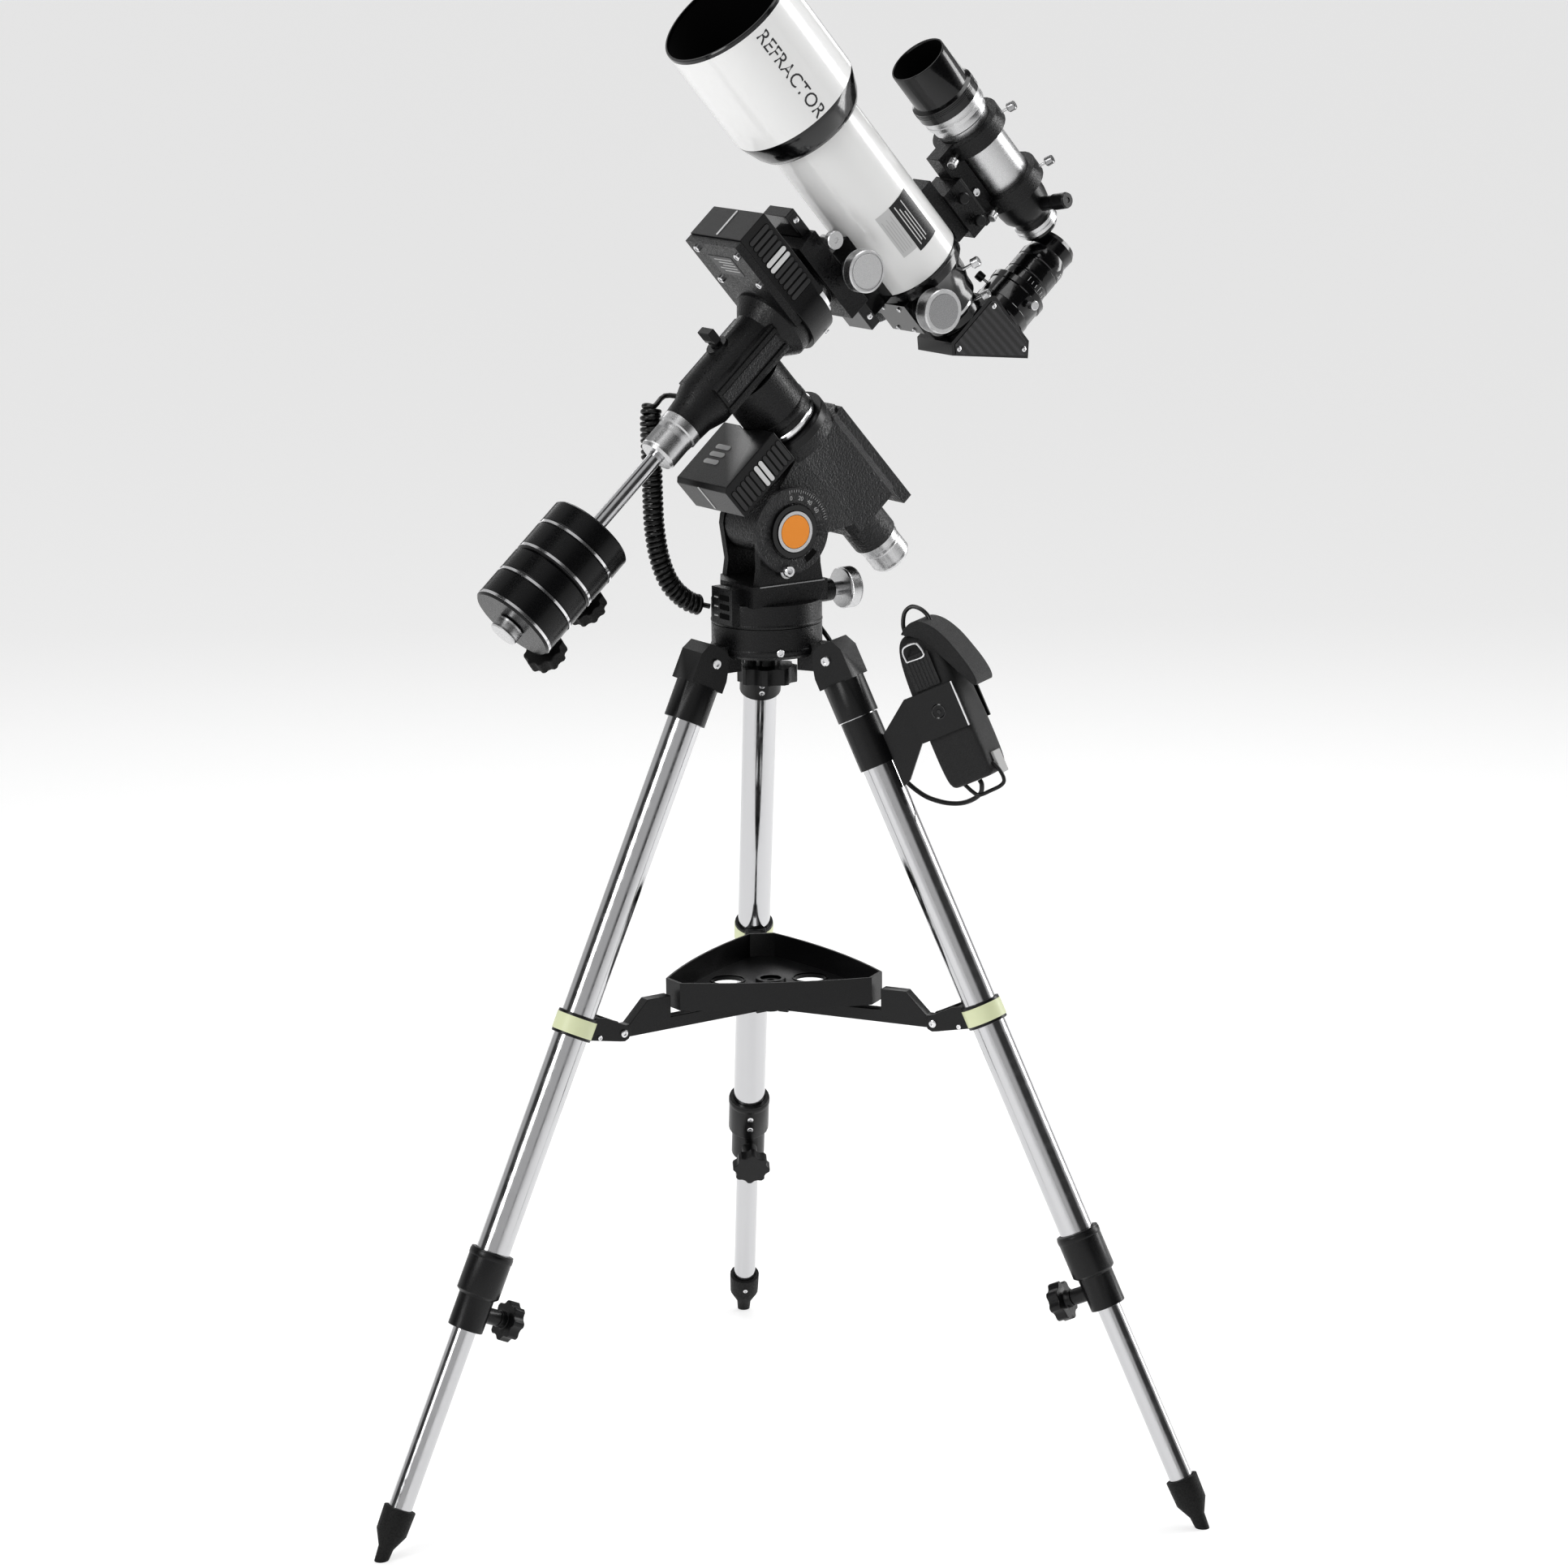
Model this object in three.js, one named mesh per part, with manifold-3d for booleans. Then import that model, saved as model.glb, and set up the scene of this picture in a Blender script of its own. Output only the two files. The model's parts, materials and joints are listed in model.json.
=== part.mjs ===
// A short refractor telescope on a motorised German equatorial mount and a folding tripod, in millimetres.
// It is built in a site frame: +Z up, floor at z = 0, azimuth axis on x = y = 0, and -X towards the pole.
// Four kinds of group carry the pieces:
//   leg frames   origin at the leg's pivot, +X away from the leg on its outer side, -Z down along the leg
//   spreader     origin on the azimuth axis, for the tray and its three arms
//   base         the site frame itself, for the hub and the azimuth base
//   head frame   origin where the polar and declination axes cross, +Z to the pole, +X to the telescope
import * as THREE from "three";
import { mergeVertices } from "three/addons/utils/BufferGeometryUtils.js";
import Module from "manifold-3d";

const wasm = await Module();
wasm.setup();

// ---------- driving dimensions ----------
const GAP = 0.3;

const LEGS = { north: 180, west: -60, east: 60 };
const LEG_TILT = 25;
const PIVOT_RADIUS = 75;
const PIVOT_HEIGHT = 880;
const LEG_LENGTH = 971;
const OUTER_TUBE_R = 17.5;
const INNER_TUBE_R = 12.25;
const SLEEVE_END = 66;
const COLLAR_AT = 395;
const CLAMP_TOP = 639;
const CLAMP_STEP = 684;
const CLAMP_END = 722;
const INNER_TUBE_TOP = 370;
const FOOT_TOP = 915;

const HUB_R = 57;
const HUB_BOTTOM = 881;
const HUB_TOP = 913;
const LUG_HALF = 12;

const ARM_OUTER_R = 190;
const ARM_INNER_R = 18;
const ARM_HEIGHT = 507;
const TRAY_BOTTOM = 520;
const TRAY_RIM_TOP = 549;
const TRAY_CORNER_R = 122;

const ALTITUDE_HEIGHT = 1012;
const DIAL_R = 44.5;
const UPRIGHT_IN = 33.3;
const UPRIGHT_OUT = 43;

const LATITUDE = 49;
const HEAD = new THREE.Vector3(-33, 0, 1181);
const RA_COVER_BOTTOM = -98.3;
const RA_COVER_TOP = -59;
const RA_HEAD_R = 36;
const DEC_COVER_X = 66.3;
const SHAFT_R = 7.75;
const STOP_LENGTH = 14;
const WEIGHT_R = 45.5;
const WEIGHT_LENGTH = 63;
const STACK_END = -361;

const TUBE_X = 223;
const TUBE_R = 50.5;
const SHIELD_R = 71;
const SHIELD_REAR = 117;
const SHIELD_SHOULDER = 149;
const SHIELD_FRONT = 272;
const TUBE_REAR = -81;
const KNOB_X = 147;
const KNOB_Z = -9;
const DRAWTUBE_R = 27;
const PINION_X = 187;
const PINION_Z = -107;
const DIAGONAL_Z = -200;
const FINDER_X = 364;

// ---------- finishes ----------
const FINISH = {
  casting: { color: 0x17181a, roughness: 0.55, metalness: 0.3 },
  plastic: { color: 0x202124, roughness: 0.4, metalness: 0 },
  rubber: { color: 0x111111, roughness: 0.85, metalness: 0 },
  steel: { color: 0xb9bbbd, roughness: 0.2, metalness: 1 },
  aluminium: { color: 0xc9cacb, roughness: 0.35, metalness: 1 },
  anodised: { color: 0x0e0e10, roughness: 0.3, metalness: 0.6 },
  white: { color: 0xe9e9e8, roughness: 0.25, metalness: 0 },
  glass: { color: 0x9fb4c8, roughness: 0.05, metalness: 0 },
  fabric: { color: 0x1b1b1c, roughness: 0.95, metalness: 0 },
};

// ---------- geometry helpers ----------
const rad = THREE.MathUtils.degToRad;

// A box between two opposite corners.
function block(x0, x1, y0, y1, z0, z1) {
  const box = new THREE.BoxGeometry(x1 - x0, y1 - y0, z1 - z0);
  return box.translate((x0 + x1) / 2, (y0 + y1) / 2, (z0 + z1) / 2);
}

// A solid of revolution about Z: the [radius, z] profile runs from the bottom up, and starts and ends on the axis.
function turned(profile, sides = 28) {
  const points = profile.map(([r, z]) => new THREE.Vector2(r, z));
  return new THREE.LatheGeometry(points, sides).rotateX(Math.PI / 2);
}

// A ring about Z: the profile closes on itself, outer wall upwards and inner wall downwards.
function ring(profile, sides = 28) {
  return turned([...profile, profile[0]], sides);
}

// A plain hollow tube about Z.
function pipe(outer, inner, z0, z1, sides = 28) {
  const profile = [
    [inner, z0],
    [outer, z0],
    [outer, z1],
    [inner, z1],
  ];
  return ring(profile, sides);
}

// A solid rod about Z.
function rod(radius, z0, z1, sides = 24) {
  const profile = [
    [0, z0],
    [radius, z0],
    [radius, z1],
    [0, z1],
  ];
  return turned(profile, sides);
}

// Turns a shape made about Z so that it lies about X (its +Z end towards +X) or about Y (towards -Y).
const alongX = (geometry) => geometry.rotateY(Math.PI / 2);
const alongY = (geometry) => geometry.rotateX(Math.PI / 2);

// A plate: an outline of [x, z] points in the XZ plane, between two values of y.
function plateXZ(outline, y0, y1) {
  const shape = new THREE.Shape(outline.map(([x, z]) => new THREE.Vector2(x, z)));
  const plate = new THREE.ExtrudeGeometry(shape, { depth: y1 - y0, bevelEnabled: false });
  return plate.rotateX(Math.PI / 2).translate(0, y1, 0);
}

// A prism: an outline of [x, y] points, between two values of z.
function prism(outline, z0, z1) {
  const shape = new THREE.Shape(outline.map(([x, y]) => new THREE.Vector2(x, y)));
  const made = new THREE.ExtrudeGeometry(shape, { depth: z1 - z0, bevelEnabled: false });
  return made.translate(0, 0, z0);
}

// Points on an arc about a centre, from one angle in degrees to another.
function arc(cx, cy, radius, from, to, steps = 8) {
  const at = (i) => rad(from + ((to - from) * i) / steps);
  return Array.from({ length: steps + 1 }, (_, i) => [
    cx + radius * Math.cos(at(i)),
    cy + radius * Math.sin(at(i)),
  ]);
}

// A disc outline with rounded lobes, for hand knobs.
function lobed(radius, depth, lobes) {
  const count = lobes * 4;
  return Array.from({ length: count }, (_, i) => {
    const r = i % 4 < 2 ? radius : radius - depth;
    const a = (2 * Math.PI * i) / count;
    return [r * Math.cos(a), r * Math.sin(a)];
  });
}

// A round cord along a smooth curve through the given points.
function cordAlong(points, radius, steps, sides = 8) {
  const path = new THREE.CatmullRomCurve3(points.map((p) => new THREE.Vector3(...p)));
  const circle = arc(0, 0, radius, 0, 360, sides).slice(0, -1);
  const section = new THREE.Shape(circle.map((p) => new THREE.Vector2(...p)));
  return new THREE.ExtrudeGeometry(section, { steps, extrudePath: path });
}

// The manifold solid of a closed geometry.
function solidOf(geometry) {
  const bare = new THREE.BufferGeometry();
  bare.setAttribute("position", geometry.getAttribute("position"));
  bare.setIndex(geometry.index);
  const merged = mergeVertices(bare, 1e-4);
  const vertProperties = merged.getAttribute("position").array;
  const triVerts = new Uint32Array(merged.index.array);
  return new wasm.Manifold(new wasm.Mesh({ numProp: 3, vertProperties, triVerts }));
}

// A manifold solid as a flat-shaded geometry.
function geometryOf(solid) {
  const { numProp, numVert, vertProperties, triVerts } = solid.getMesh();
  const positions = new Float32Array(numVert * 3);
  for (let i = 0; i < numVert; i++) {
    positions.set(vertProperties.subarray(i * numProp, i * numProp + 3), i * 3);
  }
  const geometry = new THREE.BufferGeometry();
  geometry.setAttribute("position", new THREE.BufferAttribute(positions, 3));
  geometry.setIndex(new THREE.BufferAttribute(triVerts, 1));
  return geometry;
}

const fuse = (...parts) => geometryOf(parts.map(solidOf).reduce((a, b) => a.add(b)));
const cut = (body, ...tools) => geometryOf(tools.map(solidOf).reduce((a, b) => a.subtract(b), solidOf(body)));

function add(group, name, geometry, finish) {
  const mesh = new THREE.Mesh(geometry, new THREE.MeshStandardMaterial(FINISH[finish]));
  mesh.name = name;
  group.add(mesh);
}

// ---------- frames ----------
const site = new THREE.Group();

// The frame of a leg: turned to its bearing, moved to its pivot, tilted outwards.
function legFrame(bearing) {
  const turn = new THREE.Group();
  turn.rotation.z = rad(bearing);
  const frame = new THREE.Group();
  frame.position.set(PIVOT_RADIUS, 0, PIVOT_HEIGHT);
  frame.rotation.y = rad(-LEG_TILT);
  turn.add(frame);
  site.add(turn);
  return frame;
}

const head = new THREE.Group();
head.position.copy(HEAD);
head.rotation.y = rad(LATITUDE - 90);
site.add(head);

// ---------- tripod ----------
function tripodHub() {
  const bearings = Object.values(LEGS);
  const lugs = bearings.map((bearing) => {
    const arm = block(40, PIVOT_RADIUS, -LUG_HALF, LUG_HALF, PIVOT_HEIGHT - 14, PIVOT_HEIGHT + 14);
    const end = alongY(rod(14, -LUG_HALF, LUG_HALF)).translate(PIVOT_RADIUS, 0, PIVOT_HEIGHT);
    return fuse(arm, end).rotateZ(rad(bearing));
  });
  const disc = turned([
    [0, HUB_BOTTOM],
    [HUB_R - 3, HUB_BOTTOM],
    [HUB_R, HUB_BOTTOM + 3],
    [HUB_R, HUB_TOP - GAP],
    [0, HUB_TOP - GAP],
  ], 40);
  add(site, "tripod_hub", fuse(disc, ...lugs), "casting");
}

// The hand knob under the hub, which draws the mount down onto the tripod.
function centreKnob() {
  const knob = prism(lobed(31, 4, 8), 849, 866);
  const shank = rod(11, 864, HUB_BOTTOM - GAP);
  add(site, "centre_knob", fuse(knob, shank), "plastic");
}

// A yoke that straddles the hub's lug, with the sleeve that holds the leg tube.
function legBracket(frame, name) {
  const width = 18.5;
  const outline = [
    [-20, -27],
    [20.5, -27],
    [20.5, 4],
    [14, 16],
    [0, 16.5],
    [-10, 13],
    [-16.5, 0],
    [-20, -14],
  ];
  const yoke = plateXZ(outline, -width, width);
  const slot = LUG_HALF + 0.6;
  const roundSlot = alongY(rod(14.8, -slot, slot));
  const openSlot = block(-40, 7, -slot, slot, -14.8, 30);
  const sleeve = rod(21.8, -SLEEVE_END, -26);
  const bore = rod(OUTER_TUBE_R + GAP, -SLEEVE_END - 1, -36);
  add(frame, "leg_bracket_" + name, cut(fuse(yoke, sleeve), roundSlot, openSlot, bore), "plastic");
}

function legTubes(frame, name) {
  const clampInside = 2 + GAP;
  const outer = pipe(OUTER_TUBE_R, OUTER_TUBE_R - 1.8, -CLAMP_STEP + clampInside, -36 - GAP, 24);
  add(frame, "leg_tube_" + name, outer, "steel");
  const inner = pipe(INNER_TUBE_R, INNER_TUBE_R - 1.5, -FOOT_TOP - 8, -INNER_TUBE_TOP, 20);
  add(frame, "inner_leg_" + name, inner, "steel");
}

// The band round the leg tube with the fork that the spreader arm works in.
function legCollar(frame, name) {
  const pivotX = -53.4;
  const pivotZ = -COLLAR_AT + 8.3;
  const band = rod(20.8, -COLLAR_AT - 12, -COLLAR_AT + 12);
  const outline = [
    [-8, -COLLAR_AT - 12],
    [-8, -COLLAR_AT + 12],
    [-26, -COLLAR_AT + 17],
    ...arc(pivotX, pivotZ, 9, 70, 270, 6),
  ];
  const fork = plateXZ(outline, -11.5, 11.5);
  const gap = block(pivotX - 20, -21.5, -7.5, 7.5, pivotZ - 30, pivotZ + 30);
  const bore = rod(OUTER_TUBE_R + GAP, -COLLAR_AT - 30, -COLLAR_AT + 30);
  add(frame, "leg_collar_" + name, cut(fuse(band, cut(fork, gap)), bore), "plastic");
}

function legClamp(frame, name) {
  const wide = 22.5;
  const narrow = 18.5;
  const body = ring([
    [INNER_TUBE_R + GAP, -CLAMP_END],
    [narrow, -CLAMP_END],
    [narrow, -CLAMP_STEP - 3],
    [wide, -CLAMP_STEP],
    [wide, -CLAMP_TOP],
    [OUTER_TUBE_R + GAP, -CLAMP_TOP],
    [OUTER_TUBE_R + GAP, -CLAMP_STEP + 2],
    [INNER_TUBE_R + GAP, -CLAMP_STEP + 2],
  ], 24);
  const boss = alongX(rod(8.5, -33, -16, 16)).translate(0, 0, -703);
  add(frame, "leg_clamp_" + name, fuse(body, boss), "plastic");
  const knob = prism(lobed(21, 3, 8), -54, -41);
  const neck = rod(9, -42, -33 - GAP, 16);
  add(frame, "clamp_knob_" + name, alongX(fuse(knob, neck)).translate(0, 0, -703), "plastic");
}

// The foot's cap and pointed tip, cut level with the floor.
function foot(frame, name) {
  const inside = FOOT_TOP + 8 + GAP;
  const tip = turned([
    [0, -LEG_LENGTH - 6],
    [6.5, -LEG_LENGTH - 6],
    [8, -LEG_LENGTH + 14],
    [16, -LEG_LENGTH + 30],
    [16.8, -FOOT_TOP],
    [INNER_TUBE_R + GAP, -FOOT_TOP],
    [INNER_TUBE_R + GAP, -inside],
    [0, -inside],
  ], 20);
  const floor = block(300, 600, -100, 100, -PIVOT_HEIGHT - 60, -PIVOT_HEIGHT);
  add(frame, "foot_" + name, cut(tip, floor.rotateY(rad(LEG_TILT))), "rubber");
}

// The arm between a collar's fork and the tray, with the wedge that steadies the tray's corner.
function spreaderArm(bearing, name) {
  const half = 6.5;
  const outline = [
    ...arc(ARM_INNER_R, ARM_HEIGHT, half, 90, 270, 4),
    ...arc(ARM_OUTER_R, ARM_HEIGHT, half, -90, 90, 4),
    [180, ARM_HEIGHT + half],
    [157, TRAY_BOTTOM + 16],
    [129, TRAY_BOTTOM + 16],
    [129, ARM_HEIGHT + half],
  ];
  add(site, "spreader_arm_" + name, plateXZ(outline, -half, half).rotateZ(rad(bearing)), "plastic");
}

// A rounded triangle in plan, its cut corners towards the legs, grown outwards by an offset.
function trayOutline(offset) {
  const halfCorner = 13;
  const shape = new THREE.Shape();
  const bulge = 90;
  const corner = TRAY_CORNER_R + offset;
  [60, 180, 300].forEach((bearing, i) => {
    const turn = (x, y) => new THREE.Vector2(x, y).rotateAround(new THREE.Vector2(), rad(bearing));
    const first = turn(corner, -halfCorner);
    const last = turn(corner, halfCorner);
    const control = turn(bulge + offset, 0).rotateAround(new THREE.Vector2(), rad(60));
    const next = turn(corner, -halfCorner).rotateAround(new THREE.Vector2(), rad(120));
    if (i === 0) shape.moveTo(first.x, first.y);
    shape.lineTo(last.x, last.y);
    shape.quadraticCurveTo(control.x, control.y, next.x, next.y);
  });
  return shape;
}

function accessoryTray() {
  const options = (depth) => ({ depth, bevelEnabled: false, curveSegments: 8 });
  const body = new THREE.ExtrudeGeometry(trayOutline(0), options(TRAY_RIM_TOP - TRAY_BOTTOM));
  const hollow = new THREE.ExtrudeGeometry(trayOutline(-3.2), options(40)).translate(0, 0, 4);
  const holes = [0, 120, 240].map((a) => rod(17, -5, 20).translate(50, 0, 0).rotateZ(rad(a)));
  const dish = cut(body, hollow, ...holes).translate(0, 0, TRAY_BOTTOM);
  const boss = rod(16, TRAY_BOTTOM + 2, TRAY_BOTTOM + 10, 24);
  const nut = rod(9, ARM_HEIGHT - 9, TRAY_BOTTOM + 2, 20);
  const lugs = Object.values(LEGS).flatMap((bearing) =>
    [-1, 1].map((side) => {
      const lug = block(13, 24, 7.2, 10, ARM_HEIGHT - 7, TRAY_BOTTOM + 2);
      return (side > 0 ? lug : lug.translate(0, -17.2, 0)).rotateZ(rad(bearing));
    }),
  );
  const centreHole = rod(4, TRAY_BOTTOM + 4, TRAY_BOTTOM + 20, 12);
  add(site, "accessory_tray", cut(fuse(dish, boss, nut, ...lugs), centreHole), "plastic");
}

// ---------- mount ----------
// The azimuth base: a turntable on the hub, and the two uprights that carry the altitude pivot.
function mountBase() {
  const disc = rod(HUB_R, HUB_TOP + GAP, 937, 40);
  const deck = prism([
    [-46, -44],
    [46, -44],
    [46, 44],
    [-27, 44],
    [-46, 16],
  ], 936, 958);
  const outline = (radius, foot) => [
    [-foot, 950],
    [42, 950],
    [38, 975],
    ...arc(0, ALTITUDE_HEIGHT, radius, 0, 180, 10),
    [-foot + 4, 975],
  ];
  const uprights = [
    plateXZ(outline(37, 40), -UPRIGHT_OUT, -UPRIGHT_IN),
    plateXZ(outline(30, 28), UPRIGHT_IN, UPRIGHT_OUT - 2),
  ];
  const sockets = block(-60, -40, -26, 11, 917, 954);
  const boltBoss = alongX(rod(11, 40, 80, 20)).translate(0, 0, 936);
  add(site, "mount_base", fuse(disc, deck, ...uprights, sockets, boltBoss), "casting");
}

function altitudeDial() {
  const face = alongY(rod(DIAL_R, UPRIGHT_OUT + GAP, 50, 40));
  const centre = alongY(rod(23, 49, 54, 28));
  add(site, "altitude_dial", fuse(face, centre).translate(0, 0, ALTITUDE_HEIGHT), "casting");
}

function altitudeKnob() {
  const neck = alongX(rod(7, 80 + GAP, 94, 20));
  const grip = alongX(rod(21.5, 93, 108, 32));
  add(site, "altitude_knob", fuse(neck, grip).translate(0, 0, 936), "aluminium");
}

// The housing of the polar axis, with the lobe that hangs between the uprights on the altitude pivot.
function polarHousing() {
  const pivot = { x: -86, z: -149.3 };
  const flange = rod(43, -112, RA_COVER_BOTTOM - GAP, 32);
  const body = prism([
    [-30, -24],
    [-22, -32],
    [32, -32],
    [51, -13],
    [51, 13],
    [32, 32],
    [-22, 32],
    [-30, 24],
  ], -223, -111);
  const strip = block(40, 52, -22, 22, -247, -114);
  const barrel = rod(25, -258, -220, 28);
  const lobe = plateXZ([
    ...arc(pivot.x, pivot.z, 29, 110, 290, 10),
    [-20, -212],
    [-20, -106],
  ], -UPRIGHT_IN + 1.5, UPRIGHT_IN - 1.5);
  const scopeBore = rod(9, -259, -222, 16);
  add(head, "polar_housing", cut(fuse(flange, body, strip, barrel, lobe), scopeBore), "casting");
}

function polarCap() {
  const cap = turned([
    [0, -292],
    [19.5, -292],
    [21, -290.5],
    [21, -268],
    [23, -266],
    [23, -258 - GAP],
    [0, -258 - GAP],
  ], 32);
  add(head, "polar_scope_cap", cap, "aluminium");
}

function raMotorBox() {
  const corner = 4;
  const cover = plateXZ([
    [-115, RA_COVER_BOTTOM],
    [-33, RA_COVER_BOTTOM],
    [-33, RA_COVER_TOP],
    [-115 + corner, RA_COVER_TOP],
    [-115, RA_COVER_TOP - corner],
  ], -45, 45);
  const disc = rod(45, RA_COVER_BOTTOM, -88, 36);
  const headRoom = rod(RA_HEAD_R + 1, -88, 0, 36);
  add(head, "ra_motor_box", fuse(cut(cover, headRoom), disc), "plastic");
}

// The head that turns on the polar axis, in one casting with the declination housing.
function decHousing() {
  const neck = rod(RA_HEAD_R, -88 + GAP, -20, 36);
  const barrel = alongX(turned([
    [0, -88],
    [22, -88],
    [23.5, -72],
    [30, -54],
    [30, 38],
    [42.5, 54],
    [42.5, DEC_COVER_X - GAP],
    [0, DEC_COVER_X - GAP],
  ], 32));
  const panels = block(-50, 42, -33, 33, -17, 17);
  const backPlate = block(57, DEC_COVER_X - GAP, -45, 45, 0, 112);
  const leverBoss = rod(12, 20, 32, 20).translate(-5, 0, 0);
  const shaftHole = alongX(rod(SHAFT_R + GAP, -89, -70, 16));
  add(head, "dec_housing", cut(fuse(neck, barrel, panels, backPlate, leverBoss), shaftHole), "casting");
}

function clutchLever() {
  const stem = rod(6, 32 + GAP, 38, 12);
  const paddle = block(-4, 4, -10, 10, 37, 52);
  add(head, "clutch_lever", fuse(stem, paddle).translate(-5, 0, 0), "plastic");
}

// The motor cover on the declination axis, hollowed where the saddle's ring turns.
function decMotorBox() {
  const cover = block(DEC_COVER_X, 105, -45, 45, 4, 113.5);
  const recess = alongX(rod(41, 98, 110, 36));
  const disc = alongX(rod(47, DEC_COVER_X, 98, 36));
  add(head, "dec_motor_box", fuse(cut(cover, recess), disc), "plastic");
}

function counterweights() {
  const shaft = alongX(rod(SHAFT_R, STACK_END, -70 - GAP, 20));
  add(head, "counterweight_shaft", shaft, "steel");
  const collar = ring([
    [SHAFT_R + GAP, -131],
    [18, -131],
    [19.5, -129],
    [19.5, -104],
    [22, -98],
    [22, -88 - GAP],
    [SHAFT_R + GAP, -88 - GAP],
  ], 32);
  add(head, "shaft_collar", alongX(collar), "aluminium");
  const stop = alongX(rod(15, STACK_END - GAP - STOP_LENGTH, STACK_END - GAP, 28));
  add(head, "shaft_stop", stop, "aluminium");
  const knobLean = rad(16);
  ["lower", "upper"].forEach((name, i) => {
    const start = STACK_END + i * (WEIGHT_LENGTH + 0.4);
    const bore = SHAFT_R + GAP;
    const weight = alongX(pipe(WEIGHT_R, bore, start, start + WEIGHT_LENGTH, 40));
    add(head, "counterweight_" + name, weight, "anodised");
    const grip = prism(lobed(21.5, 2.5, 10), WEIGHT_R + 10, WEIGHT_R + 24);
    const neck = rod(8, WEIGHT_R + 0.6, WEIGHT_R + 11, 16);
    const knob = fuse(grip, neck).rotateX(Math.PI + knobLean);
    add(head, "weight_knob_" + name, knob.translate(start + 13, 0, 0), "plastic");
  });
}

// ---------- telescope ----------
function saddle() {
  const neck = alongX(turned([
    [0, 98 + GAP],
    [37.5, 98 + GAP],
    [37.5, 107],
    [33, 108],
    [31, 118],
    [0, 118],
  ], 36));
  const plate = block(116, 131, -33, 33, -50, 50);
  const jaws = [-1, 1].map((side) => {
    const jaw = block(129, 143, 21, 33, -50, 50);
    return side > 0 ? jaw : jaw.translate(0, -54, 0);
  });
  const boss = alongY(rod(9.5, 30, 40, 20)).translate(KNOB_X, 0, KNOB_Z);
  add(head, "saddle", fuse(neck, plate, ...jaws, boss), "casting");
}

function saddleKnob() {
  const large = fuse(alongY(rod(8, 40 + GAP, 52, 20)), alongY(rod(22, 51, 65, 36)));
  add(head, "saddle_knob", large.translate(KNOB_X, 0, KNOB_Z), "aluminium");
}

// The dovetail bar in the saddle, with the foot block that is screwed under the tube.
function dovetailBar() {
  const bar = block(131 + GAP, 144, -20.5, 20.5, -84, 79);
  const footBlock = block(143, 188, -16, 16, -78, 8);
  const tubeRoom = rod(TUBE_R + GAP, -90, 20, 48).translate(TUBE_X, 0, 0);
  add(head, "dovetail_bar", cut(fuse(bar, footBlock), tubeRoom), "anodised");
}

function mainTube() {
  const wall = 1.8;
  const cellR = 55;
  const cellRear = 135;
  const cellFront = 162;
  const lensSeat = 142;
  const lensR = 41;
  const tube = ring([
    [TUBE_R - wall, TUBE_REAR],
    [TUBE_R, TUBE_REAR],
    [TUBE_R, cellRear - 3],
    [cellR, cellRear],
    [cellR, cellFront],
    [lensR + GAP, cellFront],
    [lensR + GAP, lensSeat],
    [38, lensSeat],
    [38, cellRear - 2],
    [TUBE_R - wall, cellRear - 8],
  ], 48);
  add(head, "main_tube", tube.translate(TUBE_X, 0, 0), "white");
  const lens = turned([
    [0, lensSeat + GAP],
    [lensR, lensSeat + GAP],
    [lensR, lensSeat + 12],
    [lensR * 0.7, lensSeat + 14],
    [0, lensSeat + 16],
  ], 32);
  add(head, "objective_lens", lens.translate(TUBE_X, 0, 0), "glass");
}

// The dew shield slides back along the tube on its rear ring.
function dewShield() {
  const wall = 2.5;
  const bore = TUBE_R + 0.6;
  const shield = ring([
    [bore, SHIELD_REAR],
    [56.5, SHIELD_REAR],
    [59, SHIELD_REAR + 2],
    [SHIELD_R - 2, SHIELD_SHOULDER - 6],
    [SHIELD_R, SHIELD_SHOULDER],
    [SHIELD_R, SHIELD_FRONT],
    [SHIELD_R - wall, SHIELD_FRONT],
    [SHIELD_R - wall, SHIELD_SHOULDER],
    [bore, SHIELD_REAR + 5],
  ], 52);
  add(head, "dew_shield", shield.translate(TUBE_X, 0, 0), "white");
}

// The back cell and the focuser's body, with the block that holds the pinion shaft.
function focuser() {
  const bore = DRAWTUBE_R + GAP;
  const body = turned([
    [0, -141],
    [36, -141],
    [37, -128],
    [41, -116],
    [42, -102],
    [50, -92],
    [TUBE_R, TUBE_REAR - GAP],
    [0, TUBE_REAR - GAP],
  ], 40).translate(TUBE_X, 0, 0);
  const pinionBlock = block(172, 205, -28, 28, -130, -90);
  const bearings = alongY(rod(12, -36, 36, 20)).translate(PINION_X, 0, PINION_Z);
  const tubeBore = rod(bore, -142, -70, 32).translate(TUBE_X, 0, 0);
  const shaftBore = alongY(rod(3.4, -40, 40, 12)).translate(PINION_X, 0, PINION_Z);
  const housing = cut(fuse(body, pinionBlock, bearings), tubeBore, shaftBore);
  add(head, "focuser_body", housing, "anodised");
  const drawtube = ring([
    [24.8, -148],
    [30, -148],
    [30, -141 - 4],
    [DRAWTUBE_R, -141 - 4],
    [DRAWTUBE_R, -78],
    [24.8, -78],
  ], 32);
  add(head, "focuser_drawtube", drawtube.translate(TUBE_X, 0, 0), "anodised");
  const shaft = alongY(rod(2.9, -66, 66, 12));
  const grips = [-1, 1].flatMap((side) => {
    const grip = alongY(rod(23, 48, 66, 36));
    const hub = alongY(rod(12, 37, 49, 20));
    return side > 0 ? [grip, hub] : [grip.rotateZ(Math.PI), hub.rotateZ(Math.PI)];
  });
  const knobs = fuse(shaft, ...grips).translate(PINION_X, 0, PINION_Z);
  add(head, "focus_knobs", knobs, "aluminium");
}

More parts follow.
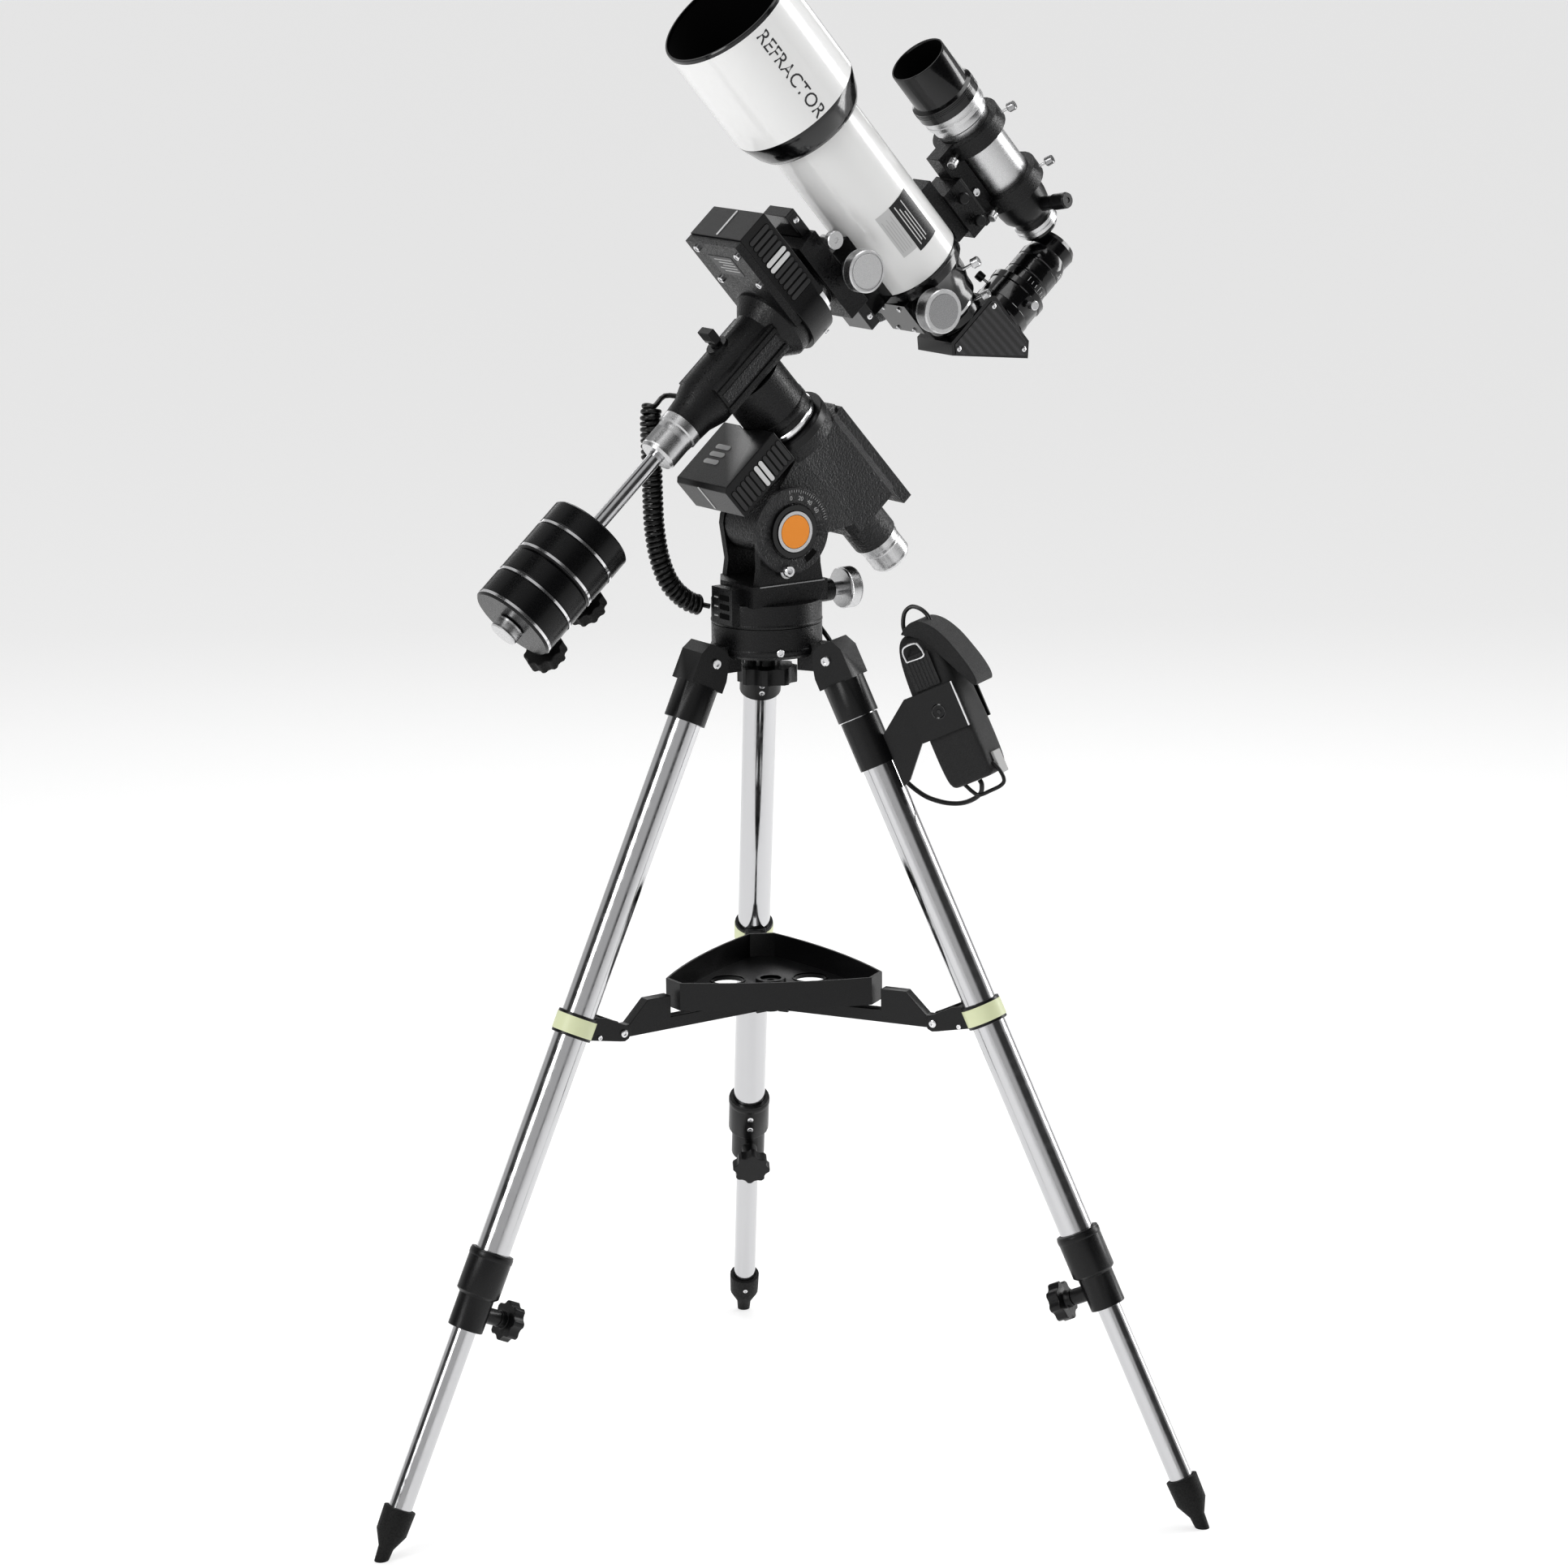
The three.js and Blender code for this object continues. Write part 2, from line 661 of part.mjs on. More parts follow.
// The star diagonal: a mirror box between two side plates, a nose into the drawtube and an eyepiece holder.
function diagonal() {
  const box = plateXZ([
    [181, -171],
    [248, -244],
    [261, -231],
    [261, -164],
    [257, -160],
    [189, -160],
  ], -30, 30);
  const collar = rod(30, -161, -148 - GAP, 32).translate(TUBE_X, 0, 0);
  const nose = pipe(24.4, 22, -161, -110, 28).translate(TUBE_X, 0, 0);
  const holder = alongX(rod(31, 260, 301, 32)).translate(0, 0, DIAGONAL_Z);
  const lightPath = rod(22, -190, -100, 24).translate(TUBE_X, 0, 0);
  const eyepieceBore = alongX(rod(16.4, 240, 310, 24)).translate(0, 0, DIAGONAL_Z);
  const body = cut(fuse(box, collar, nose, holder), lightPath, eyepieceBore);
  add(head, "star_diagonal", body, "anodised");
}

function eyepiece() {
  const profile = [
    [0, 272],
    [16, 272],
    [16, 301 + GAP],
    [25.5, 301 + GAP],
    [25.5, 343],
    [22.5, 350],
    [23.5, 364],
    [20, 368],
    [12, 360],
    [0, 360],
  ];
  add(head, "eyepiece", alongX(turned(profile, 32)).translate(0, 0, DIAGONAL_Z), "anodised");
}

// ---------- finder ----------
function finderBracket() {
  const foot = block(264, 287, -15, 15, -98, -24);
  const shoe = block(286, 312, -20, 20, -106, -46);
  const bar = block(310, 334, -11, 11, -113, -18);
  const rings = [
    [39, -37, -19],
    [38, -114, -96],
  ].map(([radius, z0, z1]) => rod(radius, z0, z1, 32).translate(FINDER_X, 0, 0));
  const scopeBore = rod(29 + GAP, -120, 5, 32).translate(FINDER_X, 0, 0);
  const tubeRoom = rod(TUBE_R + GAP, -110, 0, 48).translate(TUBE_X, 0, 0);
  const bracket = cut(fuse(foot, shoe, bar, ...rings), scopeBore, tubeRoom);
  add(head, "finder_bracket", bracket, "casting");
}

function finderScope() {
  const profile = [
    [0, -172.5],
    [18, -172.5],
    [20, -170],
    [20, -166],
    [23.5, -165],
    [23.5, -156],
    [21, -155],
    [21, -150],
    [27, -141],
    [28.5, -132],
    [29, -116],
    [29, -12],
    [31, -10],
    [31, -3],
    [34, -1],
    [34, 11],
    [35.5, 12],
    [35.5, 26],
    [31.5, 28],
    [31.5, 72],
    [28.8, 72],
    [28.8, 30],
    [0, 30],
  ];
  const tube = turned(profile, 32);
  const lamp = rod(8.5, 20, 60, 16).rotateX(Math.PI / 2).rotateZ(rad(14)).translate(0, 0, -139);
  add(head, "finder_scope", fuse(tube, lamp).translate(FINDER_X, 0, 0), "anodised");
}

// ---------- handset ----------
// A bent sheet clip round the west leg, whose arm ends in a channel round the pouch.
function handsetHolder(frame) {
  const clip = prism([
    ...arc(0, 0, 20, -150, 150, 16),
    ...arc(0, 0, OUTER_TUBE_R + GAP, 150, -150, 16),
  ], -120, -SLEEVE_END - 1);
  const arm = plateXZ([
    [18.5, -150],
    [28, -146],
    [57, -116],
    [72, -116],
    [72, -68],
    [57, -68],
    [18.5, -94],
  ], -4, -1.5);
  const channel = [
    block(69.5, 72, -27.5, 27.5, -116, -68),
    block(69.5, 126, -27.5, -25, -116, -68),
    block(69.5, 126, 25, 27.5, -116, -68),
  ];
  add(frame, "handset_holder", fuse(clip, arm, ...channel), "plastic");
}

function handsetPouch(frame) {
  const bevel = 8;
  const shape = new THREE.Shape();
  const inset = { x0: 72.6 + bevel, x1: 127 - bevel, y: 24.5 - bevel };
  shape.moveTo(inset.x0, -inset.y);
  shape.lineTo(inset.x1, -inset.y);
  shape.lineTo(inset.x1, inset.y);
  shape.lineTo(inset.x0, inset.y);
  const options = { depth: 164 - 2 * bevel, bevelSize: bevel, bevelThickness: bevel, bevelSegments: 3 };
  const pouch = new THREE.ExtrudeGeometry(shape, options).translate(0, 0, -172 + bevel);
  add(frame, "handset_pouch", pouch, "fabric");
}

// ---------- cords ----------
// Handset cord, in the frame of the west leg: from under the pouch, behind the leg, up to the azimuth base.
const HANDSET_CORD = [
  [97, 4, -172.4],
  [97, 4, -178],
  [90, 7, -186],
  [74, 12, -189],
  [56, 18, -187],
  [36, 24, -179],
  [18, 28, -165],
  [4, 29, -140],
  [-2, 29, -105],
  [-3, 30, -60],
  [-6, 36, -28],
  [-14, 41, -2],
  [-20, 45, 20],
  [-28.3, 54, 37.5],
  [-27.6, 59.1, 55.3],
  [-30, 53.1, 57],
];

// Curly cord, in the site frame: from behind the declination housing down to the azimuth base.
const CURLY_CORD = [
  [-106, 46, 1139],
  [-109, 45, 1125],
  [-109, 44, 1088],
  [-109, 43, 1046],
  [-108, 42, 1012],
  [-103, 40, 980],
  [-93, 37, 955],
  [-77, 33, 938],
];
const CURLY_TOP = [-78, 34, 1147];
const CURLY_END = [-51.3, 27.9, 929];
const CURLY_R = 11;
const LEAD_R = 2.5;

function cords(westLeg) {
  add(westLeg, "handset_cable", cordAlong(HANDSET_CORD, LEAD_R, 44), "rubber");
  const coil = cordAlong(CURLY_CORD, CURLY_R, 16, 12);
  const first = cordAlong([CURLY_TOP, [-92, 44, 1148], CURLY_CORD[0], CURLY_CORD[1]], LEAD_R, 8);
  const last = cordAlong([CURLY_CORD.at(-2), CURLY_CORD.at(-1), [-62, 30, 931], CURLY_END], LEAD_R, 8);
  add(site, "curly_cable", fuse(coil, first, last), "rubber");
}

// ---------- assembly ----------
tripodHub();
centreKnob();
const legFrames = {};
for (const [name, bearing] of Object.entries(LEGS)) {
  const frame = legFrame(bearing);
  legFrames[name] = frame;
  legBracket(frame, name);
  legTubes(frame, name);
  legCollar(frame, name);
  legClamp(frame, name);
  foot(frame, name);
  spreaderArm(bearing, name);
}
accessoryTray();
mountBase();
altitudeDial();
altitudeKnob();
polarHousing();
polarCap();
raMotorBox();
decHousing();
clutchLever();
decMotorBox();
counterweights();
saddle();
saddleKnob();
dovetailBar();
mainTube();
dewShield();
focuser();
diagonal();
eyepiece();
finderBracket();
finderScope();
handsetHolder(legFrames.west);
handsetPouch(legFrames.west);
cords(legFrames.west);

// The part stands on its origin: the middle of its footprint, at floor level, is moved to zero.
const CORDS = ["handset_cable", "curly_cable"];
const box = new THREE.Box3();
site.updateMatrixWorld(true);
site.traverse((o) => {
  if (o.isMesh && !CORDS.includes(o.name)) box.expandByObject(o, true);
});
const middle = box.getCenter(new THREE.Vector3());
site.position.set(-middle.x, -middle.y, -box.min.z);

const telescope = new THREE.Group();
telescope.add(site);

export default telescope;
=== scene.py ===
import json
import math

import bmesh
import bpy
from mathutils import Matrix, Vector


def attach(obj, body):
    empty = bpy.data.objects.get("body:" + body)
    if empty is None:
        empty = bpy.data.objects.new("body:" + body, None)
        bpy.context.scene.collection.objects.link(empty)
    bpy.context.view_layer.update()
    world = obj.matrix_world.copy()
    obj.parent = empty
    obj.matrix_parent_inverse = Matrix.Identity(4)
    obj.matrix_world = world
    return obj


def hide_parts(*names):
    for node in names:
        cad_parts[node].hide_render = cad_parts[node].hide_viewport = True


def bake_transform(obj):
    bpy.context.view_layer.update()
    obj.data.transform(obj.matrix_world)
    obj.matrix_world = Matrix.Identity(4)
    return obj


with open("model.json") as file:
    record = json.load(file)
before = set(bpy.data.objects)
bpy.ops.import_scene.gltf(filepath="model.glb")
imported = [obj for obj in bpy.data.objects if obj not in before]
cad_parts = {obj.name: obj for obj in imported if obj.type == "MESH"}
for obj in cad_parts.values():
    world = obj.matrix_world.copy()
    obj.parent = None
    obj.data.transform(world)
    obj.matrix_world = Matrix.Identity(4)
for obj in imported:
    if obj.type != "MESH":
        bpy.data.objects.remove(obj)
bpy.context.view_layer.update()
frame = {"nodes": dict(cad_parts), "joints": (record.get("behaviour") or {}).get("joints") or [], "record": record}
JOINTS = {j["name"]: j for j in frame["joints"]}
BODY = {n: b for b, ns in frame["record"]["behaviour"]["bodies"].items() for n in ns}
MM = 0.001


# ---------- local frames, in millimetres ----------
def local_frame(origin, x, y, z):
    cols = [Vector(x).normalized() * MM, Vector(y).normalized() * MM, Vector(z).normalized() * MM]
    m = Matrix((cols[0], cols[1], cols[2])).transposed().to_4x4()
    m.translation = Vector(origin)
    return m


POLAR = Vector(JOINTS["ra_turn"]["axis"])
DEC = Vector(JOINTS["dec_turn"]["axis"])
HEAD = local_frame(JOINTS["ra_turn"]["pos_m"], DEC, POLAR.cross(DEC), POLAR)
AXIS = Vector(JOINTS["azimuth_turn"]["pos_m"])
SITE = local_frame((AXIS.x, AXIS.y, 0), (1, 0, 0), (0, 1, 0), (0, 0, 1))
LEG = {}
for side in ("north", "west", "east"):
    fold = JOINTS["leg_fold_" + side]
    along = Vector(JOINTS["leg_extend_" + side]["axis"])
    LEG[side] = local_frame(fold["pos_m"], Vector(fold["axis"]).cross(-along), fold["axis"], -along)
OTA_X = 223  # the main tube's axis, along the declination axis
FINDER_X = 364  # the finder's axis
EYE_Z = -200  # the eyepiece's axis, along the polar axis


def axes_at(m, point, x, y, z):
    """A frame at a point of m, its axes along directions of m."""
    turn = m.to_3x3()
    return local_frame(m @ Vector(point), turn @ Vector(x), turn @ Vector(y), turn @ Vector(z))


def shifted(m, x=0, y=0, z=0):
    return m @ Matrix.Translation((x, y, z))


def turned(m, axis, degrees):
    return m @ Matrix.Rotation(math.radians(degrees), 4, axis)


# ---------- materials ----------
def material(name, colour, rough=0.4, metal=0.0, **sockets):
    m = bpy.data.materials.new(name)
    m.use_nodes = True
    shader = m.node_tree.nodes["Principled BSDF"]
    shader.inputs["Base Color"].default_value = (*colour, 1)
    shader.inputs["Roughness"].default_value = rough
    shader.inputs["Metallic"].default_value = metal
    for key, value in sockets.items():
        shader.inputs[key.replace("_", " ")].default_value = value
    return m


def grain(m, scale, strength, distance=0.0003, rough=None, detail=3.0, stretch=None):
    """Fine procedural relief, with an optional range of roughness that follows it."""
    tree = m.node_tree
    shader = tree.nodes["Principled BSDF"]
    place = tree.nodes.new("ShaderNodeTexCoord")
    noise = tree.nodes.new("ShaderNodeTexNoise")
    noise.inputs["Scale"].default_value = scale
    noise.inputs["Detail"].default_value = detail
    source = place.outputs["Object"]
    if stretch:
        mapping = tree.nodes.new("ShaderNodeMapping")
        mapping.inputs["Scale"].default_value = stretch
        tree.links.new(source, mapping.inputs["Vector"])
        source = mapping.outputs["Vector"]
    tree.links.new(source, noise.inputs["Vector"])
    if strength:
        bump = tree.nodes.new("ShaderNodeBump")
        bump.inputs["Strength"].default_value = strength
        bump.inputs["Distance"].default_value = distance
        tree.links.new(noise.outputs["Fac"], bump.inputs["Height"])
        tree.links.new(bump.outputs["Normal"], shader.inputs["Normal"])
    if rough:
        span = tree.nodes.new("ShaderNodeMapRange")
        span.inputs["From Min"].default_value = 0.35
        span.inputs["From Max"].default_value = 0.65
        span.inputs["To Min"].default_value = rough[0]
        span.inputs["To Max"].default_value = rough[1]
        tree.links.new(noise.outputs["Fac"], span.inputs["Value"])
        tree.links.new(span.outputs["Result"], shader.inputs["Roughness"])
    return m


def woven(m, scale, dark, light):
    """A diagonal weave in two shades."""
    tree = m.node_tree
    wave = tree.nodes.new("ShaderNodeTexWave")
    wave.inputs["Scale"].default_value = scale
    wave.bands_direction = "DIAGONAL"
    place = tree.nodes.new("ShaderNodeTexCoord")
    ramp = tree.nodes.new("ShaderNodeValToRGB")
    ramp.color_ramp.elements[0].color = dark
    ramp.color_ramp.elements[1].color = light
    tree.links.new(place.outputs["Object"], wave.inputs["Vector"])
    tree.links.new(wave.outputs["Fac"], ramp.inputs["Fac"])
    tree.links.new(ramp.outputs["Color"], tree.nodes["Principled BSDF"].inputs["Base Color"])
    return m


CASTING = grain(material("casting", (0.006, 0.006, 0.0065), 0.36, Specular_IOR_Level=0.4), 620, 0.6, 0.0005,
                rough=(0.22, 0.52))
SPECKLE = grain(material("speckle", (0.016, 0.016, 0.017), 0.45), 430, 1.0, 0.0011, rough=(0.24, 0.6))
PLASTIC = grain(material("plastic", (0.007, 0.007, 0.0075), 0.3, Specular_IOR_Level=0.4), 1500, 0.1, rough=(0.26, 0.4))
PANEL = grain(material("panel", (0.022, 0.022, 0.023), 0.42), 1500, 0.12, rough=(0.36, 0.5))
RUBBER = grain(material("rubber", (0.006, 0.006, 0.006), 0.6, Specular_IOR_Level=0.35), 600, 0.2, rough=(0.5, 0.75))
STEEL = grain(material("steel", (0.6, 0.6, 0.61), 0.16, 1.0), 90, 0, rough=(0.1, 0.2))
SILVER = grain(material("silver", (0.60, 0.60, 0.605), 0.3, 1.0), 1200, 0.05, rough=(0.24, 0.38))
BRIGHT = grain(material("bright", (0.74, 0.74, 0.75), 0.14, 1.0), 800, 0, rough=(0.1, 0.22))
TURNED = grain(material("turned", (0.36, 0.36, 0.365), 0.28, 1.0), 700, 0, rough=(0.22, 0.34))
SATIN = grain(material("satin_black", (0.004, 0.004, 0.0045), 0.26, Specular_IOR_Level=0.35), 700, 0,
              rough=(0.2, 0.34))
GLOSS = grain(material("gloss_black", (0.003, 0.003, 0.0035), 0.14, 0.0, Coat_Weight=0.3), 500, 0, rough=(0.1, 0.24))
WHITE = grain(material("white_paint", (0.82, 0.82, 0.815), 0.2, 0.0, Coat_Weight=0.5), 300, 0, rough=(0.16, 0.26))
LIGHT = grain(material("light_plastic", (0.62, 0.62, 0.62), 0.4), 500, 0, rough=(0.34, 0.46))
INSIDE = grain(material("flock", (0.003, 0.003, 0.003), 0.9, Specular_IOR_Level=0.15), 900, 0.3, rough=(0.8, 0.95))
GLASS = material("lens", (0.02, 0.035, 0.06), 0.03, 0.0, Coat_Weight=1.0)
ORANGE = grain(material("orange", (0.85, 0.30, 0.03), 0.35), 400, 0, rough=(0.28, 0.42))
BAND = grain(material("band", (0.72, 0.76, 0.50), 0.4), 900, 0.08, rough=(0.35, 0.5))
FABRIC = grain(material("nylon", (0.008, 0.008, 0.0085), 0.7, Sheen_Weight=0.08), 1400, 0.8, 0.0006, (0.5, 0.8))
WEB = grain(material("webbing", (0.014, 0.014, 0.0145), 0.7, Sheen_Weight=0.15), 900, 1.0, 0.001, (0.5, 0.8))
JACKET = grain(material("jacket", (0.006, 0.006, 0.006), 0.34), 800, 0.05, rough=(0.26, 0.4))
GREY = material("print_grey", (0.42, 0.42, 0.42), 0.5)
GREY_LABEL = grain(material("label_grey", (0.55, 0.55, 0.55), 0.35), 500, 0, rough=(0.3, 0.42))
INK = material("print_dark", (0.03, 0.03, 0.032), 0.45)
DARK = grain(material("dark_plate", (0.010, 0.010, 0.011), 0.3), 900, 0, rough=(0.24, 0.36))
CARBON = woven(material("carbon", (0.008, 0.008, 0.009), 0.25, 0.0, Coat_Weight=0.5), 55,
               (0.002, 0.002, 0.002, 1), (0.03, 0.03, 0.032, 1))


# ---------- geometry ----------
def finished(bm, name, body, mat, smooth=35, bevel=0, slot=None):
    """Turns a bmesh, already in the row frame, into a piece that rides on a CAD body."""
    bmesh.ops.recalc_face_normals(bm, faces=bm.faces)
    mesh = bpy.data.meshes.new(name)
    bm.to_mesh(mesh)
    bm.free()
    for polygon in mesh.polygons:
        polygon.use_smooth = True
    mesh.set_sharp_from_angle(angle=math.radians(smooth))
    mesh.materials.append(mat)
    o = bpy.data.objects.new(name, mesh)
    bpy.context.scene.collection.objects.link(o)
    if bevel:
        edge = o.modifiers.new("edge", "BEVEL")
        edge.width = bevel * MM
        edge.segments = 2
        edge.limit_method = "ANGLE"
        edge.angle_limit = math.radians(35)
        edge.harden_normals = True
    if body:
        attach(o, body)
    return o


def lathe(name, profile, m, body, mat, steps=96, knurl=None, **kw):
    """A body of revolution about the frame's Z. knurl is (z0, z1, count, depth) for a diamond-cut band."""
    bm = bmesh.new()
    rows = []
    points = list(profile)
    if knurl:
        z0, z1, count, depth = knurl
        steps = count * 2
        dense = []
        for (r0, a0), (r1, a1) in zip(points, points[1:]):
            dense.append((r0, a0))
            if abs(r0 - r1) < 0.01 and min(a0, a1) <= z0 and max(a0, a1) >= z1:
                n = max(4, round(abs(z1 - z0) / (2 * math.pi * r0 / count)) * 2)
                ends = (z0, z1) if a0 < a1 else (z1, z0)
                dense += [(r0, ends[0] + (ends[1] - ends[0]) * i / n) for i in range(n + 1)]
        points = dense + [points[-1]]
    for k, (r, z) in enumerate(points):
        if r < 1e-6:
            rows.append([bm.verts.new(m @ Vector((0, 0, z)))])
            continue
        row = []
        for i in range(steps):
            rr = r
            if knurl and z0 < z < z1 and (i + k) % 2:
                rr = r - depth
            a = 2 * math.pi * i / steps
            row.append(bm.verts.new(m @ Vector((rr * math.cos(a), rr * math.sin(a), z))))
        rows.append(row)
    for a, b in zip(rows, rows[1:]):
        if len(a) == 1 and len(b) == 1:
            continue
        for i in range(steps):
            j = (i + 1) % steps
            if len(a) == 1:
                bm.faces.new((a[0], b[i], b[j]))
            elif len(b) == 1:
                bm.faces.new((a[i], a[j], b[0]))
            else:
                bm.faces.new((a[i], a[j], b[j], b[i]))
    return finished(bm, name, body, mat, **kw)


def prism(name, outline, z0, z1, m, body, mat, **kw):
    """An outline of [x, y] points in the frame, raised from z0 to z1."""
    bm = bmesh.new()
    low = [bm.verts.new(m @ Vector((x, y, z0))) for x, y in outline]
    top = [bm.verts.new(m @ Vector((x, y, z1))) for x, y in outline]
    bm.faces.new(low)
    bm.faces.new(top)
    for i in range(len(outline)):
        j = (i + 1) % len(outline)
        bm.faces.new((low[i], low[j], top[j], top[i]))
    return finished(bm, name, body, mat, **kw)


def box(name, x0, x1, y0, y1, z0, z1, m, body, mat, **kw):
    return prism(name, [(x0, y0), (x1, y0), (x1, y1), (x0, y1)], z0, z1, m, body, mat, **kw)


def capsule(x0, x1, y, half, steps=8):
    """A slot outline from x0 to x1, with round ends."""
    right = [(-90 + 180 * i / steps) for i in range(steps + 1)]
    turn = lambda cx, a: (cx + half * math.cos(math.radians(a)), y + half * math.sin(math.radians(a)))
    return [turn(x1 - half, a) for a in right] + [turn(x0 + half, a + 180) for a in right]


def catmull(points, per=12):
    """Points along a smooth curve through the given points."""
    p = [Vector(q) for q in points]
    p = [2 * p[0] - p[1]] + p + [2 * p[-1] - p[-2]]
    out = []
    for i in range(1, len(p) - 2):
        for k in range(per):
            t = k / per
            a, b, c, d = p[i - 1:i + 3]
            out.append(0.5 * (2 * b + (c - a) * t + (2 * a - 5 * b + 4 * c - d) * t * t
                              + (3 * b - a - 3 * c + d) * t ** 3))
    return out + [p[-2]]


def frames_along(points):
    """A smoothly turning pair of side vectors for each point of a path."""
    tangents = []
    for i in range(len(points)):
        tangents.append((points[min(i + 1, len(points) - 1)] - points[max(i - 1, 0)]).normalized())
    side = tangents[0].orthogonal().normalized()
    out = []
    for t in tangents:
        side = (side - t * side.dot(t)).normalized()
        out.append((t, side, t.cross(side)))
    return out


def tube(name, points, radius, body, mat, sides=12, **kw):
    """A round tube along points in the row frame, in metres; the radius is in millimetres."""
    bm = bmesh.new()
    rows = []
    for p, (t, u, v) in zip(points, frames_along(points)):
        rows.append([bm.verts.new(p + (u * math.cos(2 * math.pi * i / sides)
                                       + v * math.sin(2 * math.pi * i / sides)) * radius * MM)
                     for i in range(sides)])
    for a, b in zip(rows, rows[1:]):
        for i in range(sides):
            j = (i + 1) % sides
            bm.faces.new((a[i], a[j], b[j], b[i]))
    bm.faces.new(rows[0])
    bm.faces.new(rows[-1])
    return finished(bm, name, body, mat, **kw)


def refined(node, mat, bevel=0.6, smooth=38):
    """A CAD node shown with joined vertices, soft edges and its own finish."""
    source = frame["nodes"][node]
    bm = bmesh.new()
    bm.from_mesh(source.data)
    bmesh.ops.remove_doubles(bm, verts=bm.verts, dist=2e-6)
    bmesh.ops.dissolve_limit(bm, angle_limit=math.radians(1.2), verts=bm.verts, edges=bm.edges)
    o = finished(bm, node + "_look", BODY[node], mat, smooth=smooth, bevel=bevel)
    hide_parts(node)
    return o


def lathe_for(node, profile, m, mat, **kw):
    """A body of revolution that stands for a CAD node."""
    o = lathe(node + "_look", profile, m, BODY[node], mat, **kw)
    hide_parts(node)
    return o


def screw(name, m, r, height, body, mat=BRIGHT, socket=True):
    """A cap screw standing on the frame's XY plane, its head towards +Z, with a hexagon socket."""
    profile = [(r, 0), (r, height * 0.8), (r * 0.85, height)]
    if socket:
        profile += [(r * 0.5, height), (r * 0.5, height * 0.4), (0, height * 0.4)]
    else:
        profile += [(0, height)]
    return lathe(name, profile, m, body, mat, steps=24)


def facing(m, point, direction):
    """A frame at a point of m, its Z along a direction of m."""
    origin = m @ Vector(point)
    z = (m.to_3x3() @ Vector(direction)).normalized()
    x = z.orthogonal().normalized()
    return local_frame(origin, x, z.cross(x), z)


def thumbscrew(name, m, body, shaft=8, r=4.5, length=9, mat=DARK, count=22):
    lathe(name + "_pin", [(0, 0), (1.6, 0), (1.6, shaft + 1), (0, shaft + 1)], m, body, SILVER, steps=16)
    top = shaft + length
    profile = [(0, shaft), (r * 0.8, shaft), (r, shaft + 0.8), (r, top - 0.8), (r * 0.8, top), (0, top)]
    lathe(name, profile, m, body, mat, knurl=(shaft + 1, top - 1, count, 0.35), smooth=20)


# ---------- camera, light and floor ----------
def camera():
    cam = bpy.data.cameras.new("camera")
    o = bpy.data.objects.new("camera", cam)
    bpy.context.scene.collection.objects.link(o)
    pitch, yaw, roll, bearing = 0.2247, 0.0034, -0.0104, math.radians(-34.25)
    spin = Matrix.Rotation(bearing, 3, "Z")
    forward = Vector((math.sin(yaw) * math.cos(pitch), math.cos(yaw) * math.cos(pitch), -math.sin(pitch)))
    right = Vector((math.cos(yaw), -math.sin(yaw), 0))
    up = right.cross(forward)
    right, up = (math.cos(roll) * right + math.sin(roll) * up, -math.sin(roll) * right + math.cos(roll) * up)
    r, u, f = spin @ right, spin @ up, spin @ forward
    m = Matrix((r, u, -f)).transposed().to_4x4()
    m.translation = Vector((AXIS.x - 2.6437, AXIS.y - 3.8829, 1.8136))
    o.matrix_world = m
    cam.sensor_width = 36
    cam.lens = 106.84
    cam.clip_end = 100
    bpy.context.scene.camera = o


def area(name, location, target, size, power, colour=(1, 1, 1)):
    light = bpy.data.lights.new(name, "AREA")
    light.shape = "RECTANGLE"
    light.size, light.size_y = size
    light.energy = power
    light.color = colour
    o = bpy.data.objects.new(name, light)
    bpy.context.scene.collection.objects.link(o)
    o.location = Vector(location)
    o.rotation_mode = "QUATERNION"
    o.rotation_quaternion = (Vector(target) - Vector(location)).to_track_quat("-Z", "Y")


